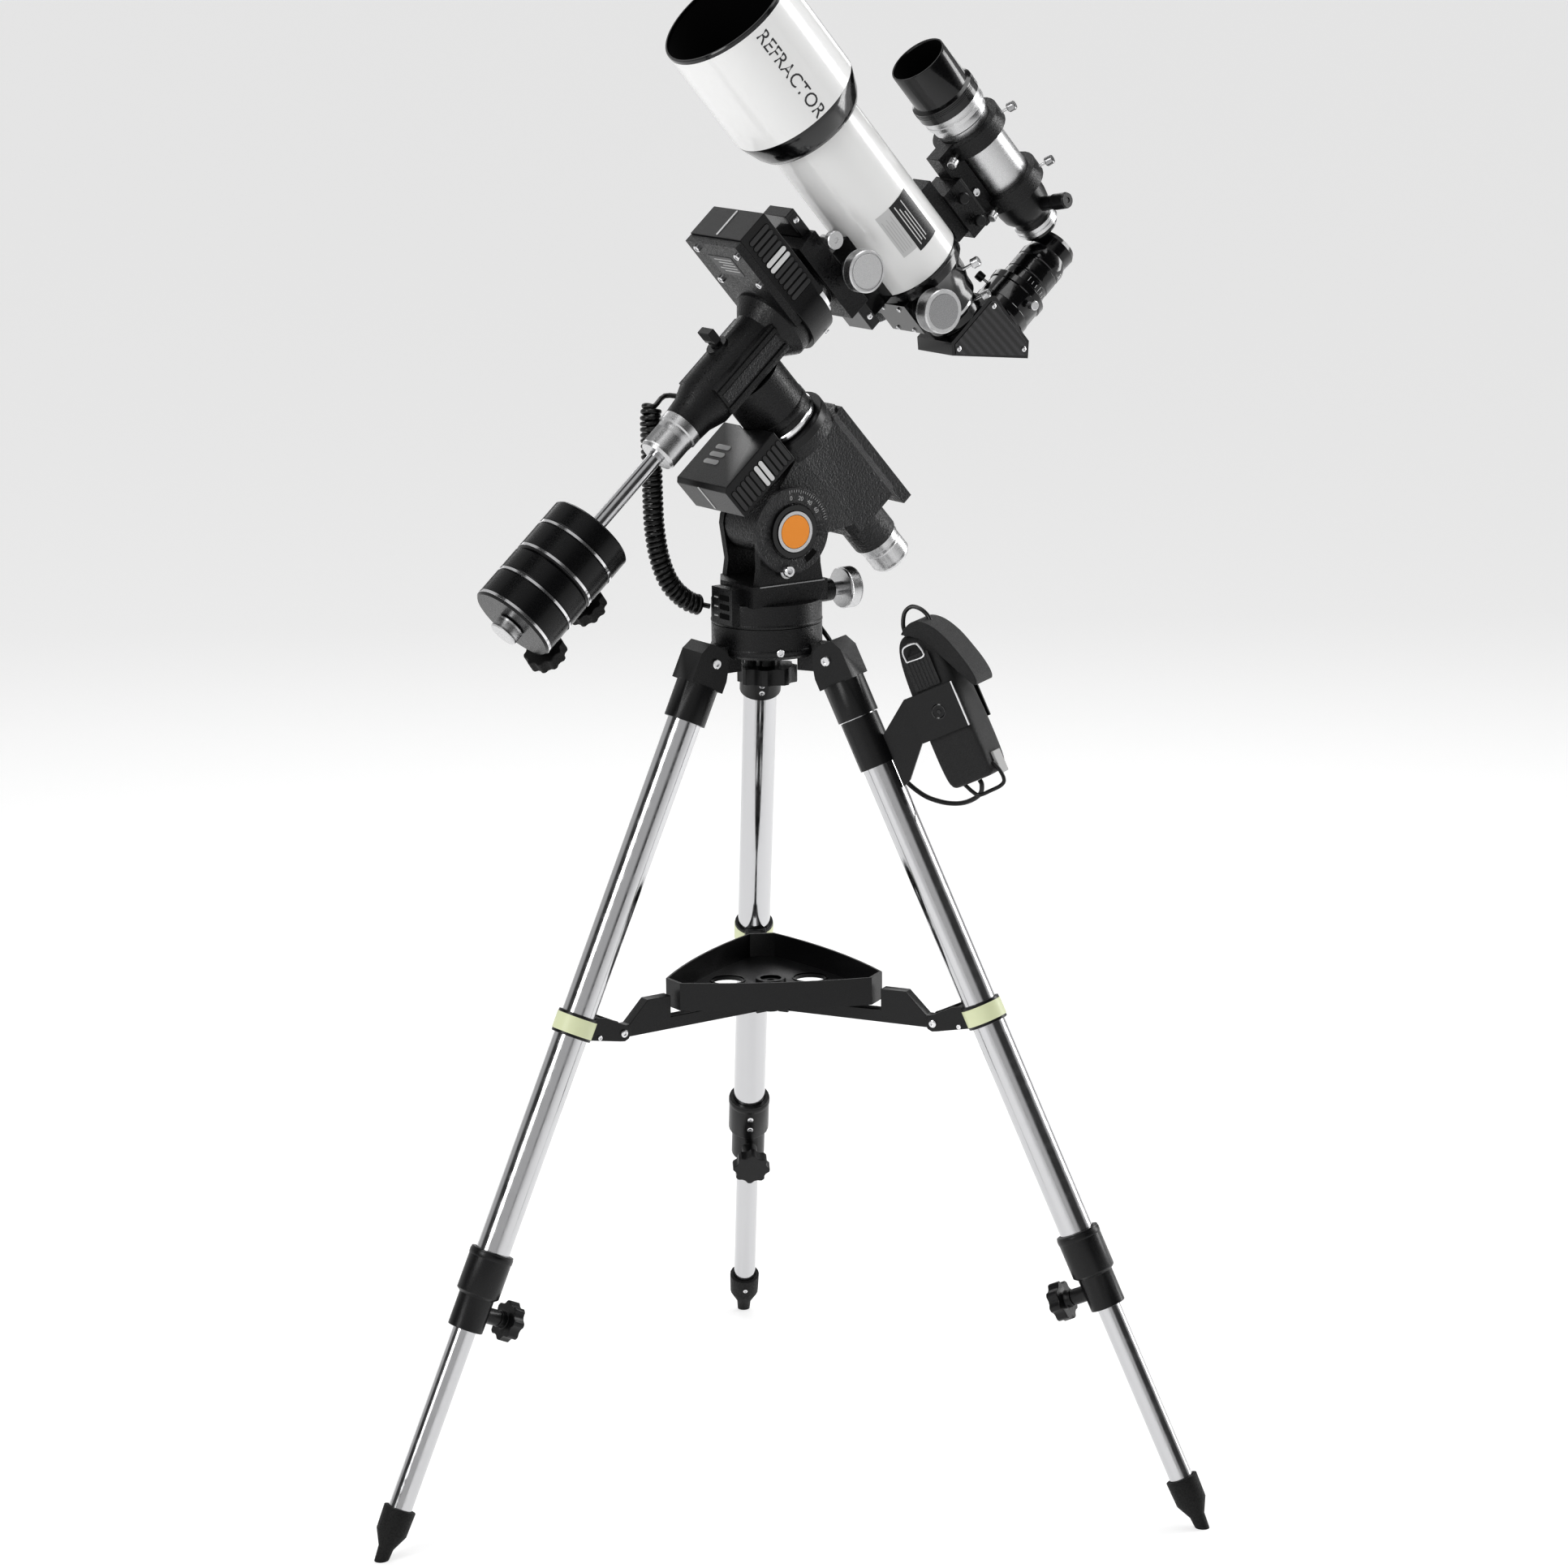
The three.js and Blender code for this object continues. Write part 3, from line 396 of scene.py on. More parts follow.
def studio():
    """A pale floor out to the horizon, with soft boxes on both sides and above."""
    world = bpy.data.worlds.new("world")
    bpy.context.scene.world = world
    world.use_nodes = True
    nodes, links = world.node_tree.nodes, world.node_tree.links
    seen = nodes["Background"]
    seen.inputs["Color"].default_value = (1, 1, 1, 1)
    seen.inputs["Strength"].default_value = 0.93
    lit = nodes.new("ShaderNodeBackground")
    lit.inputs["Strength"].default_value = 0.5
    way = nodes.new("ShaderNodeTexCoord")
    split = nodes.new("ShaderNodeSeparateXYZ")
    turn = nodes.new("ShaderNodeMath")
    turn.operation = "ARCTAN2"
    wave = nodes.new("ShaderNodeMath")
    wave.operation = "MULTIPLY"
    wave.inputs[1].default_value = 3.0
    shift = nodes.new("ShaderNodeMath")
    shift.operation = "ADD"
    shift.inputs[1].default_value = 2.2
    sine = nodes.new("ShaderNodeMath")
    sine.operation = "SINE"
    ramp = nodes.new("ShaderNodeMapRange")
    ramp.interpolation_type = "SMOOTHSTEP"
    ramp.inputs["From Min"].default_value = -0.5
    ramp.inputs["From Max"].default_value = 0.5
    ramp.inputs["To Min"].default_value = 0.12
    ramp.inputs["To Max"].default_value = 1.0
    ray = nodes.new("ShaderNodeLightPath")
    mix = nodes.new("ShaderNodeMixShader")
    links.new(way.outputs["Generated"], split.inputs[0])
    links.new(split.outputs["Y"], turn.inputs[0])
    links.new(split.outputs["X"], turn.inputs[1])
    links.new(turn.outputs[0], wave.inputs[0])
    links.new(wave.outputs[0], shift.inputs[0])
    links.new(shift.outputs[0], sine.inputs[0])
    links.new(sine.outputs[0], ramp.inputs["Value"])
    links.new(ramp.outputs["Result"], lit.inputs["Color"])
    links.new(ray.outputs["Is Camera Ray"], mix.inputs[0])
    links.new(lit.outputs[0], mix.inputs[1])
    links.new(seen.outputs[0], mix.inputs[2])
    links.new(mix.outputs[0], nodes["World Output"].inputs["Surface"])
    spin = Matrix.Rotation(math.radians(-34.25), 4, "Z")
    bm = bmesh.new()
    bm.faces.new([bm.verts.new((x, y, -0.0002)) for x, y in ((-60, -60), (60, -60), (60, 60), (-60, 60))])
    paper = material("paper", (0.5, 0.5, 0.5), 0.7, Emission_Color=(1, 1, 1, 1), Emission_Strength=0.52)
    floor = finished(bm, "floor", None, paper)
    at = lambda x, y, z: spin @ Vector((x, y, z))
    aim = at(0, 0, 0.8)
    area("key", at(-2.7, -2.4, 2.6), aim, (1.3, 2.8), 58)
    area("fill", at(3.0, 1.0, 1.8), aim, (0.9, 3.0), 46)
    area("top", at(0.2, 0.1, 3.9), aim, (2.6, 2.0), 34)
    area("back", at(0, 3.4, 2.6), aim, (4.0, 1.6), 34)
    bpy.context.scene.view_settings.view_transform = "Standard"
    bpy.context.scene.view_settings.look = "Medium High Contrast"


camera()
studio()

# ---------- cords ----------
HANDSET_CORD = [
    (97, 4, -172.4), (97, 4, -178), (90, 7, -186), (74, 12, -189), (56, 18, -187), (36, 24, -179),
    (18, 28, -165), (4, 29, -140), (-2, 29, -105), (-3, 30, -60), (-6, 36, -28), (-14, 41, -2),
    (-20, 45, 20), (-28.3, 54, 37.5), (-27.6, 59.1, 55.3), (-30, 53.1, 57),
]
CURLY_CORD = [
    (-106, 46, 1139), (-109, 45, 1125), (-109, 44, 1088), (-109, 43, 1046), (-108, 42, 1012),
    (-103, 40, 980), (-93, 37, 955), (-77, 33, 938),
]
CURLY_LEAD = [(-78, 34, 1147), (-92, 44, 1148)]
CURLY_TAIL = [(-62, 30, 931), (-51.3, 27.9, 929)]


def length_of(points):
    return sum((b - a).length for a, b in zip(points, points[1:]))


def cords():
    route = [LEG["west"] @ Vector(p) for p in HANDSET_CORD]
    path = catmull(route, 10)
    cable = tube("handset_cable_look", path, 2.5, None, JACKET, sides=14)
    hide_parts("handset_cable")
    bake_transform(cable)

    lead = [SITE @ Vector(p) for p in CURLY_LEAD]
    tail = [SITE @ Vector(CURLY_TAIL[1])]
    spine = catmull([SITE @ Vector(p) for p in CURLY_CORD + [CURLY_TAIL[0]]], 24)
    total = length_of(spine)
    pitch, wind = 5.7 * MM, 8.2 * MM
    walked = [0]
    for a, b in zip(spine, spine[1:]):
        walked.append(walked[-1] + (b - a).length)
    axes = frames_along(spine)

    def phase(axis, heading):
        """The angle on the coil at which the wire runs along a heading."""
        return math.atan2(-axis[1].dot(heading), axis[2].dot(heading))

    first = phase(axes[0], (spine[0] - lead[-1]).normalized())
    last = phase(axes[-1], (tail[0] - spine[-1]).normalized())
    turns = round(total / pitch) + (last - first) / (2 * math.pi)
    steps = round(turns * 8)
    coil = []
    k = 0
    for i in range(steps + 1):
        s = total * i / steps
        while k < len(spine) - 2 and walked[k + 1] < s:
            k += 1
        f = (s - walked[k]) / (walked[k + 1] - walked[k])
        centre = spine[k].lerp(spine[k + 1], f)
        u = axes[k][1].lerp(axes[k + 1][1], f).normalized()
        v = axes[k][2].lerp(axes[k + 1][2], f).normalized()
        a = first + 2 * math.pi * turns * i / steps
        coil.append(centre + (u * math.cos(a) + v * math.sin(a)) * wind)
    whole = catmull(lead + coil + tail, 3)
    middle = 3 * (len(lead) + len(coil) // 2)
    upper, lower = whole[:middle + 1], whole[middle:]
    top = tube("curly_cable_upper", upper, 2.7, None, JACKET, sides=10)
    bottom = tube("curly_cable_lower", lower, 2.7, None, JACKET, sides=10)
    for o, part, where in ((top, upper, upper[0]), (bottom, lower, lower[0])):
        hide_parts("curly_cable")
    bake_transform(top)
    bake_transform(bottom)


cords()

# ---------- plain refinements ----------
for node, mat, bevel in (
    ("tripod_hub", CASTING, 1.0), ("mount_base", CASTING, 0.8), ("polar_housing", SPECKLE, 0.8),
    ("dec_housing", CASTING, 1.0), ("saddle", CASTING, 0.8), ("centre_knob", PLASTIC, 1.2),
    ("accessory_tray", PLASTIC, 0.7), ("ra_motor_box", PLASTIC, 1.0), ("dec_motor_box", PLASTIC, 1.2),
    ("clutch_lever", PLASTIC, 0.8), ("weight_knob_upper", RUBBER, 1.2), ("weight_knob_lower", RUBBER, 1.2),
    ("dovetail_bar", GLOSS, 0.6), ("focuser_body", GLOSS, 0.8), ("star_diagonal", GLOSS, 0.8),
    ("finder_bracket", CASTING, 0.6), ("handset_holder", PLASTIC, 0.4),
):
    refined(node, mat, bevel)
for side in LEG:
    for node, mat, bevel in (
        ("leg_bracket_", PLASTIC, 1.0), ("leg_collar_", PLASTIC, 0.6), ("leg_clamp_", PLASTIC, 0.6),
        ("clamp_knob_", PLASTIC, 1.2), ("spreader_arm_", PLASTIC, 0.7), ("foot_", RUBBER, 0.6),
    ):
        refined(node + side, mat, bevel)


# ---------- tripod ----------
def tripod():
    for side, m in LEG.items():
        leg, foot = "leg_" + side, "lower_leg_" + side
        lathe_for("leg_tube_" + side, [(15.7, -681.7), (17.5, -681.7), (17.5, -36.3), (15.7, -36.3)], m, STEEL)
        lathe_for("inner_leg_" + side, [(10.75, -923), (12.25, -923), (12.25, -370), (10.75, -370)], m, STEEL)
        lathe("band_" + side, [(20.9, -404), (21.3, -403.5), (21.3, -386.5), (20.9, -386)], m, leg, BAND)
        for y in (-18.5, 18.5):
            screw(f"hinge_bolt_{side}_{'in' if y < 0 else 'out'}", facing(m, (0, y, -1), (0, y, 0)), 5, 3, leg)
        for k, z in enumerate((-47, -56)):
            screw(f"sleeve_screw_{side}_{k}", facing(m, (-21.6, 0, z), (-1, 0, 0)), 2.8, 1.2, leg)
        for k, z in enumerate((-655, -670)):
            screw(f"clamp_screw_{side}_{k}", facing(m, (-22.3, 0, z), (-1, 0, 0)), 3.2, 1.4, leg)
        for y in (-11.5, 11.5):
            screw(f"fork_screw_{side}_{'a' if y < 0 else 'b'}", facing(m, (-53.4, y, -386.7), (0, y, 0)), 4, 2, leg)
            screw(f"band_screw_{side}_{'a' if y < 0 else 'b'}", facing(m, (-27, y, -399), (0, y, 0)), 2.6, 1.5, leg)
        screw(f"foot_screw_{side}", facing(m, (-16.2, 0, -928), (-1, 0, 0)), 2.6, 1.2, foot)
        lathe(f"clamp_rib_{side}", [(22.6, -641), (23, -642), (23, -646), (22.6, -647)], m, leg, PLASTIC)
    for k in (0, 120, 240):
        m = turned(SITE, "Z", k)
        lathe(f"tray_hole_rim_{k}", [(17, 524), (19, 524), (18.6, 525.2), (17.2, 525.2)],
              shifted(m, 50), "tray", PLASTIC)
    lathe("tray_boss_ring", [(10, 530), (16, 530), (15, 532.5), (11, 532.5)], SITE, "tray", PLASTIC)
    screw("hub_screw", facing(SITE, (-20, -53.6, 889), (-0.37, -1, 0)), 4, 2.5, "tripod")
    lathe("hub_lip", [(57, 886), (57.6, 887), (57.6, 890), (57, 891)], SITE, "tripod", CASTING)


tripod()


# ---------- mount ----------
def lettering(name, text, size):
    curve = bpy.data.curves.new(name, "FONT")
    curve.body = text
    curve.size = size
    curve.align_x, curve.align_y = "CENTER", "CENTER"
    curve.extrude = 0.12
    curve.resolution_u = 3
    o = bpy.data.objects.new(name, curve)
    bpy.context.scene.collection.objects.link(o)
    bpy.context.view_layer.update()
    mesh = bpy.data.meshes.new_from_object(o)
    bpy.data.objects.remove(o)
    return mesh


def placed(mesh, name, body, mat):
    mesh.materials.clear()
    mesh.materials.append(mat)
    made = bpy.data.objects.new(name, mesh)
    bpy.context.scene.collection.objects.link(made)
    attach(made, body)


def numeral(name, text, size, m, body, mat):
    mesh = lettering(name, text, size)
    mesh.transform(m)
    placed(mesh, name, body, mat)


def dial():
    """The latitude dial: a textured disc with a raised scale, a slot with its lock screw, and a bright hub."""
    face = local_frame(SITE @ Vector((0, -43.3, 1012)), (1, 0, 0), (0, 0, 1), (0, -1, 0))
    lathe_for("altitude_dial", [(0, 0), (44.5, 0), (44.5, 5.2), (43.3, 6.7), (29, 6.7), (28, 6.0), (0, 6.0)],
              face, SPECKLE, steps=120)
    ring = lambda r0, r1, z0, z1, name, mat: lathe(
        name, [(r0, z0), (r0, z1), (r1, z1), (r1, z0)], face, "azimuth", mat, steps=96)
    ring(27, 22, 5, 9.2, "dial_hub_rim", GLOSS)
    ring(21, 17.5, 5, 10.4, "dial_hub_step", SILVER)
    lathe("dial_emblem", [(17, 6), (17, 10.5), (0, 10.7)], face, "azimuth", ORANGE)
    for k, angle in enumerate(range(96, 11, -4)):
        m = turned(face, "Z", angle)
        long = k % 5 == 0
        box(f"dial_mark_{k}", 38.4 if long else 39.8, 42.4, -0.22, 0.22, 6.5, 6.95, m, "azimuth", GREY)
    for k, angle in enumerate((94, 74, 54, 34)):
        m = turned(face, "Z", angle - 90)
        numeral(f"dial_number_{20 * k}", str(20 * k), 6.4, shifted(m, 0, 34, 6.7), "azimuth", GREY)
    arc = [((34 + s) * math.cos(math.radians(a)), (34 + s) * math.sin(math.radians(a)))
           for s, angles in ((3.2, range(-64, -38, 3)), (-3.2, range(-40, -66, -3))) for a in angles]
    prism("dial_slot", arc, 6.4, 6.9, face, "azimuth", INSIDE)
    screw("dial_lock_screw", shifted(face, -8, -40, 5), 6.2, 7, "azimuth")
    lathe("dial_lock_washer", [(0, 0), (8, 0), (8, 1.4), (0, 1.4)], shifted(face, -8, -40, 5), "azimuth", SILVER)


def grooves(r0, r1, z, pitch=0.8, depth=0.06):
    """Profile points of a finely turned face, from radius r0 in to r1."""
    n = int((r0 - r1) / pitch * 2)
    return [(r0 + (r1 - r0) * i / n, z - (depth if i % 2 else 0)) for i in range(n + 1)]


def knob(node, m, r, length, mat=SILVER, start=0.0, neck=None, face=True, count=90):
    """A knurled round knob that stands for a CAD node, with its neck behind it and a turned face."""
    top = start + length
    profile = []
    if neck:
        profile += [(0, neck[1]), (neck[0], neck[1]), (neck[0], start)]
    else:
        profile += [(0, start)]
    profile += [(r - 1.2, start), (r, start + 1.2), (r, top - 1.2), (r - 1.2, top)]
    if face:
        profile += [(r - 2.8, top), (r - 3.2, top - 1.0), (r - 3.8, top - 1.0), (r - 4.2, top - 0.2)]
        profile += grooves(r - 4.6, 0.01, top - 0.2)[:-1] + [(0, top - 0.3)]
    else:
        profile += [(0, top)]
    return lathe_for(node, profile, m, mat, knurl=(start + 1.6, top - 1.6, count, 0.55), smooth=22)


def ribbed_panel(prefix, m, length, width, count, lit, body, z=0.0):
    """A row of shallow slots across a motor cover's side; two of them are light."""
    step = length / count
    for k in range(count):
        x = -length / 2 + step * (k + 0.5)
        mat = LIGHT if k in lit else PANEL
        outline = [(x + b, a) for a, b in capsule(-width / 2, width / 2, 0, step * 0.36)]
        prism(f"{prefix}_{k}", outline, z, z + (1.0 if k in lit else 0.6), m, body, mat, bevel=0.25)
        outer = [(x + b * 1.16, a * 1.03) for a, b in capsule(-width / 2, width / 2, 0, step * 0.40)]
        prism(f"{prefix}_edge_{k}", outer, z - 0.2, z + 0.3, m, body, INSIDE)


def mount():
    dial()
    bolt = local_frame(SITE @ Vector((0, 0, 936)), (0, 1, 0), (0, 0, 1), (1, 0, 0))
    knob("altitude_knob", bolt, 21.5, 15, start=93, neck=(7, 80.3), count=72)
    lathe("altitude_boss", [(8, 80), (11.5, 79.5), (11.8, 70), (11.2, 66)], bolt, "azimuth", CASTING)
    lathe("base_seam", [(57.0, 913.6), (57.5, 914.6), (57.5, 916), (57, 917)], SITE, "azimuth", CASTING, steps=120)
    box("deck_lip", -38, 42, -44.5, -43.9, 956.4, 957.6, SITE, "azimuth", TURNED)
    for k, z in enumerate((922.5, 932, 941.5)):
        box(f"port_{k}", -60.5, -59.8, -20, -4, z, z + 5.5, SITE, "azimuth", INSIDE)
        box(f"port_mark_{k}", -60.5, -59.9, -1, 6, z + 1.5, z + 3, SITE, "azimuth", GREY)
    cap = facing(HEAD, (0, 0, -258.3), (0, 0, -1))
    profile = [(0, 0), (23, 0), (23, 7), (21.6, 8.5), (21.6, 10), (22, 11), (22, 30.5), (20.5, 33.7), (0, 33.7)]
    lathe_for("polar_scope_cap", profile, cap, SILVER, knurl=(12, 29.5, 66, 0.6), smooth=22)
    # right ascension head
    lathe("ra_ring", [(36.2, -87), (37.4, -86), (37.4, -81), (36.2, -80)], HEAD, "right_ascension", BRIGHT, steps=120)
    lathe("ra_shoulder", [(36.1, -74), (36.8, -73), (36.8, -66), (36.1, -65)], HEAD, "right_ascension", CASTING)
    side = local_frame(HEAD @ Vector((-73, -45, -81.5)), DEC, POLAR, (0, -1, 0))
    ribbed_panel("ra_rib", side, 78, 27, 11, (5, 6), "polar")
    windows = local_frame(HEAD @ Vector((-74, 12, -59)), DEC, (0, 1, 0), POLAR)
    for k in (-1, 0, 1):
        outline = [(10 * k - b, a) for a, b in capsule(-12.5, 12.5, 0, 3)]
        prism(f"ra_window_{k + 1}", outline, -0.2, 0.5, windows, "polar", LIGHT)
    end = local_frame(HEAD @ Vector((-115, 5, -78.5)), POLAR, (0, -1, 0), -DEC)
    prism("ra_slit", capsule(-16, 16, 0, 1.3), -0.2, 0.5, end, "polar", LIGHT)
    for k, (x, y) in enumerate(((-108, -38), (-108, 38), (-40, -38))):
        screw(f"ra_cover_screw_{k}", shifted(HEAD, x, y, -98.5) @ Matrix.Rotation(math.pi, 4, "X"), 2.6, 1, "polar")
    # declination housing
    for y in (-1, 1):
        panel = local_frame(HEAD @ Vector((-4, 33 * y, 0)), DEC, POLAR if y < 0 else -POLAR, (0, y, 0))
        box(f"dec_panel_{'a' if y < 0 else 'b'}", -43, 43, -6.5, 6.5, -0.1, 0.5, panel, "right_ascension", SPECKLE)
        for k in (-1, 1):
            box(f"dec_rail_{'a' if y < 0 else 'b'}_{k + 1}", -46, 46, k * 11 - 2.2, k * 11 + 2.2, -0.1, 1.6, panel,
                "right_ascension", CASTING, bevel=0.5)
    for k, (y, z) in enumerate(((-38, 60), (-38, 100), (30, 60), (30, 104))):
        screw(f"dec_cover_screw_{k}", facing(HEAD, (57, y, z), (-1, 0, 0)), 4, 3, "right_ascension")
    label = local_frame(HEAD @ Vector((57, 0, 82)), (0, 1, 0), POLAR, -DEC)
    box("dec_label", -20, 20, -13, 13, -0.1, 0.35, label, "right_ascension", DARK)
    for k in range(5):
        box(f"dec_label_line_{k}", -17, 13 - 4 * (k % 3), 8 - 4 * k, 9.4 - 4 * k, 0.2, 0.5, label,
            "right_ascension", GREY)
    side = local_frame(HEAD @ Vector((86, -45, 63)), POLAR, -DEC, (0, -1, 0))
    ribbed_panel("dec_rib", side, 84, 29, 11, (5, 6), "right_ascension")
    end = local_frame(HEAD @ Vector((86, 0, 113.5)), DEC, (0, 1, 0), POLAR)
    prism("dec_slit", capsule(-17, 17, 0, 1.5), -0.2, 0.5, end, "right_ascension", LIGHT)
    screw("dec_disc_screw", facing(HEAD, (88, -26, -40.5), (0, -0.55, -0.83)), 2.6, 1.4, "right_ascension")
    shaft = facing(HEAD, (0, 0, 0), (-1, 0, 0))
    lathe_for("counterweight_shaft", [(0, 70.3), (7.75, 70.3), (7.75, 361), (0, 361)], shaft, STEEL)
    profile = [(8.05, 88.3), (22, 88.3), (22, 97), (20.5, 98.5), (20.5, 102), (20, 103.5), (20, 128), (18, 131),
               (8.05, 131)]
    lathe_for("shaft_collar", profile, shaft, SILVER, knurl=(105, 127, 60, 0.5), smooth=22)
    knob("shaft_stop", shaft, 15, 13.9, start=361.4, count=48, face=False)
    weight_length = 63
    for node, start in (("counterweight_lower", 361), ("counterweight_upper", 297.6)):
        e = start - weight_length
        z = e + weight_length / 2 - 4
        profile = [(8.05, e), (43.5, e), (45.5, e + 2), (45.5, z - 3), (44.2, z - 2), (44.2, z + 2), (45.5, z + 3),
                   (45.5, start - 2), (43.5, start), (8.05, start)]
        lathe_for(node, profile, shaft, SATIN, steps=144)
        body = BODY[node]
        for k, z in enumerate((e + 25.5, e + 57)):
            lathe(f"{node}_ring_{k}", [(44.4, z), (45.9, z + 0.6), (45.9, z + 3.4), (44.4, z + 4)], shaft, body,
                  BRIGHT, steps=144)
    for k in range(6):
        box(f"lever_rib_{k}", -9.4 + 3.4 * k, -8.0 + 3.4 * k, -4.35, 4.35, 41, 51.5,
            shifted(turned(HEAD, "Z", 90), 0, 5, 0), "clutch_lever", RUBBER)


mount()


# ---------- telescope ----------
def patch(name, m, radius, z0, z1, a0, a1, lift, mat, body):
    """A thin plate bent round a tube, between two angles in degrees."""
    bm = bmesh.new()
    rows = []
    for r in (radius, radius + lift):
        for z in (z0, z1):
            rows.append([bm.verts.new(m @ Vector((r * math.cos(math.radians(a0 + (a1 - a0) * i / 16)),
                                                  r * math.sin(math.radians(a0 + (a1 - a0) * i / 16)), z)))
                         for i in range(17)])
    low0, low1, up0, up1 = rows
    for a, b in ((up0, up1), (low0, low1), (low0, up0), (low1, up1)):
        for i in range(16):
            bm.faces.new((a[i], a[i + 1], b[i + 1], b[i]))
    for i in (0, 16):
        bm.faces.new((low0[i], low1[i], up1[i], up0[i]))
    finished(bm, name, body, mat)


def wrapped(name, text, size, m, radius, z, degrees, body, mat):
    """Lettering along a tube: it reads towards the tube's rear and stands on the surface at an angle."""
    mesh = lettering(name, text, size)
    for v in mesh.vertices:
        a = math.radians(degrees) + v.co.y / radius
        r = radius + v.co.z
        v.co = m @ Vector((r * math.cos(a), r * math.sin(a), z - v.co.x))
    placed(mesh, name, body, mat)


def telescope():
    axis = shifted(HEAD, OTA_X)
    tube_profile = [(48.7, -81), (50.5, -81), (50.5, 132), (55, 135), (55, 162), (41.3, 162), (41.3, 142),
                    (38, 142), (38, 133), (48.7, 127)]
    lathe_for("main_tube", tube_profile + tube_profile[:1], axis, WHITE, steps=160)
    lathe("objective_cell", [(55.1, 150), (55.3, 162.3), (41.3, 162.4), (41.2, 145)], axis, "declination", GLOSS)
    curve = [(41 * math.cos(t), 142.4 + 16 * math.sin(t)) for t in [math.pi / 2 * i / 10 for i in range(11)]]
    lathe_for("objective_lens", [(0, 142.4)] + curve, axis, GLASS)
    lathe("tube_liner", [(48.6, -80), (48.6, 126), (38, 132.9)], axis, "declination", INSIDE)
    white = [(71, 149), (71, 267.5)]
    shell = lathe("dew_shield_skin", white, axis, "dew_shield", WHITE, steps=200)
    black = [(71, 267.5), (71, 271), (70.2, 272), (68.5, 272), (68.5, 149), (51.1, 122), (51.1, 117), (56.5, 117),
             (59, 118.2), (63, 125), (69.5, 143), (70.9, 148), (71, 149)]
    lathe("dew_shield_ring", black, axis, "dew_shield", GLOSS, steps=200)
    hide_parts("dew_shield")
    liner = [(68.45, 268), (68.45, 149.5)]
    lathe("dew_shield_liner", liner, axis, "dew_shield", INSIDE, steps=160)
    patch("tube_label", axis, 50.5, -49, 12, -99.5, -67, 0.25, DARK, "declination")
    for k in range(4):
        patch(f"tube_label_line_{k}", axis, 50.7, -44 + 3 * (k % 2), 8 - 6 * (k % 3), -94.5 + 4 * k, -93.2 + 4 * k, 0.2,
              LIGHT, "declination")
    patch("tube_sticker", axis, 50.5, -43, 12, -120, -100, 0.2, GREY_LABEL, "declination")
    for k in range(5):
        patch(f"tube_sticker_line_{k}", axis, 50.65, -38, 4 - 5 * (k % 2), -117 + 3.2 * k, -116.3 + 3.2 * k, 0.15,
              GREY, "declination")
    wrapped("shield_title", "REFRACTOR", 20, axis, 71.05, 206, -102, "dew_shield", INK)
    lathe("rear_ring", [(50.6, -83), (51.6, -82), (51.6, -79), (50.6, -78)], axis, "declination", GLOSS, steps=160)
    # focuser
    drawtube = [(24.8, -148), (30, -148), (30, -145), (27, -145), (27, -78), (24.8, -78), (24.8, -148)]
    lathe_for("focuser_drawtube", drawtube, axis, SILVER)
    shaft = local_frame(HEAD @ Vector((187, 0, -107)), DEC, POLAR, (0, -1, 0))
    profile = [(0, -67), (19, -67), (22, -66), (23, -65), (23, -49), (22, -48), (12, -48), (12, -37), (2.9, -37),
               (2.9, 37), (12, 37), (12, 48), (22, 48), (23, 49), (23, 65), (22, 66), (19.5, 66), (0, 65.9)]
    lathe_for("focus_knobs", profile, shaft, SILVER, knurl=(50, 64, 80, 0.55), smooth=22)
    for name, m in (("near", shaft), ("far", turned(shaft, "X", 180))):
        face = grooves(17.6, 0.01, 66.5, 0.7, 0.08)[:-1]
        lathe("focus_face_" + name, [(18.4, 65.8), (18.2, 66.4)] + face + [(0, 66.5)], m, "focus_knobs", TURNED,
              smooth=50)
    for k, (y, z) in enumerate(((-14, -126), (14, -126), (-14, -96), (14, -96))):
        screw(f"pinion_screw_{k}", facing(HEAD, (172, y, z), (-1, 0, 0)), 2.6, 1.6, "declination")
    thumbscrew("focus_lock", facing(HEAD, (246, -30, -112), (0.75, -0.66, 0)), "declination", shaft=14, r=5.5,
               mat=SILVER)
    for k, (x, z) in enumerate(((250, -92), (196, -88))):
        screw(f"back_screw_{k}", facing(HEAD, (x, -36, z), (0.2, -1, 0)), 2.4, 1.6, "declination")
    # saddle and bar
    grip = local_frame(HEAD @ Vector((147, 0, -9)), DEC, POLAR, (0, -1, 0))
    knob("saddle_knob", grip, 22, 14, start=51, neck=(8, 40.3), count=84)
    small = local_frame(HEAD @ Vector((145, 0, 36)), DEC, POLAR, (0, -1, 0))
    lathe("safety_knob_pin", [(0, 30), (4, 30), (4, 48), (0, 48)], small, "declination", SILVER, steps=24)
    lathe("safety_knob", [(0, 46), (8.6, 46), (9.5, 47), (9.5, 53), (8.8, 54), (3, 54), (2.6, 53), (0, 53)], small,
          "declination", SILVER, knurl=(47.5, 52.5, 44, 0.3), smooth=22)
    lathe("saddle_ring", [(33.5, 98.4), (37.8, 98.6), (37.8, 106.5), (33.5, 107)], facing(HEAD, (0, 0, 0), (1, 0, 0)),
          "declination", BRIGHT, steps=120)
    for k, z in enumerate((-70, 68)):
        screw(f"bar_screw_{k}", facing(HEAD, (138, -20.5, z), (0, -1, 0)), 3.4, 1.6, "declination")
    box("bar_face", 133, 142.5, -20.9, -20.4, -80, 75, HEAD, "declination", PANEL)
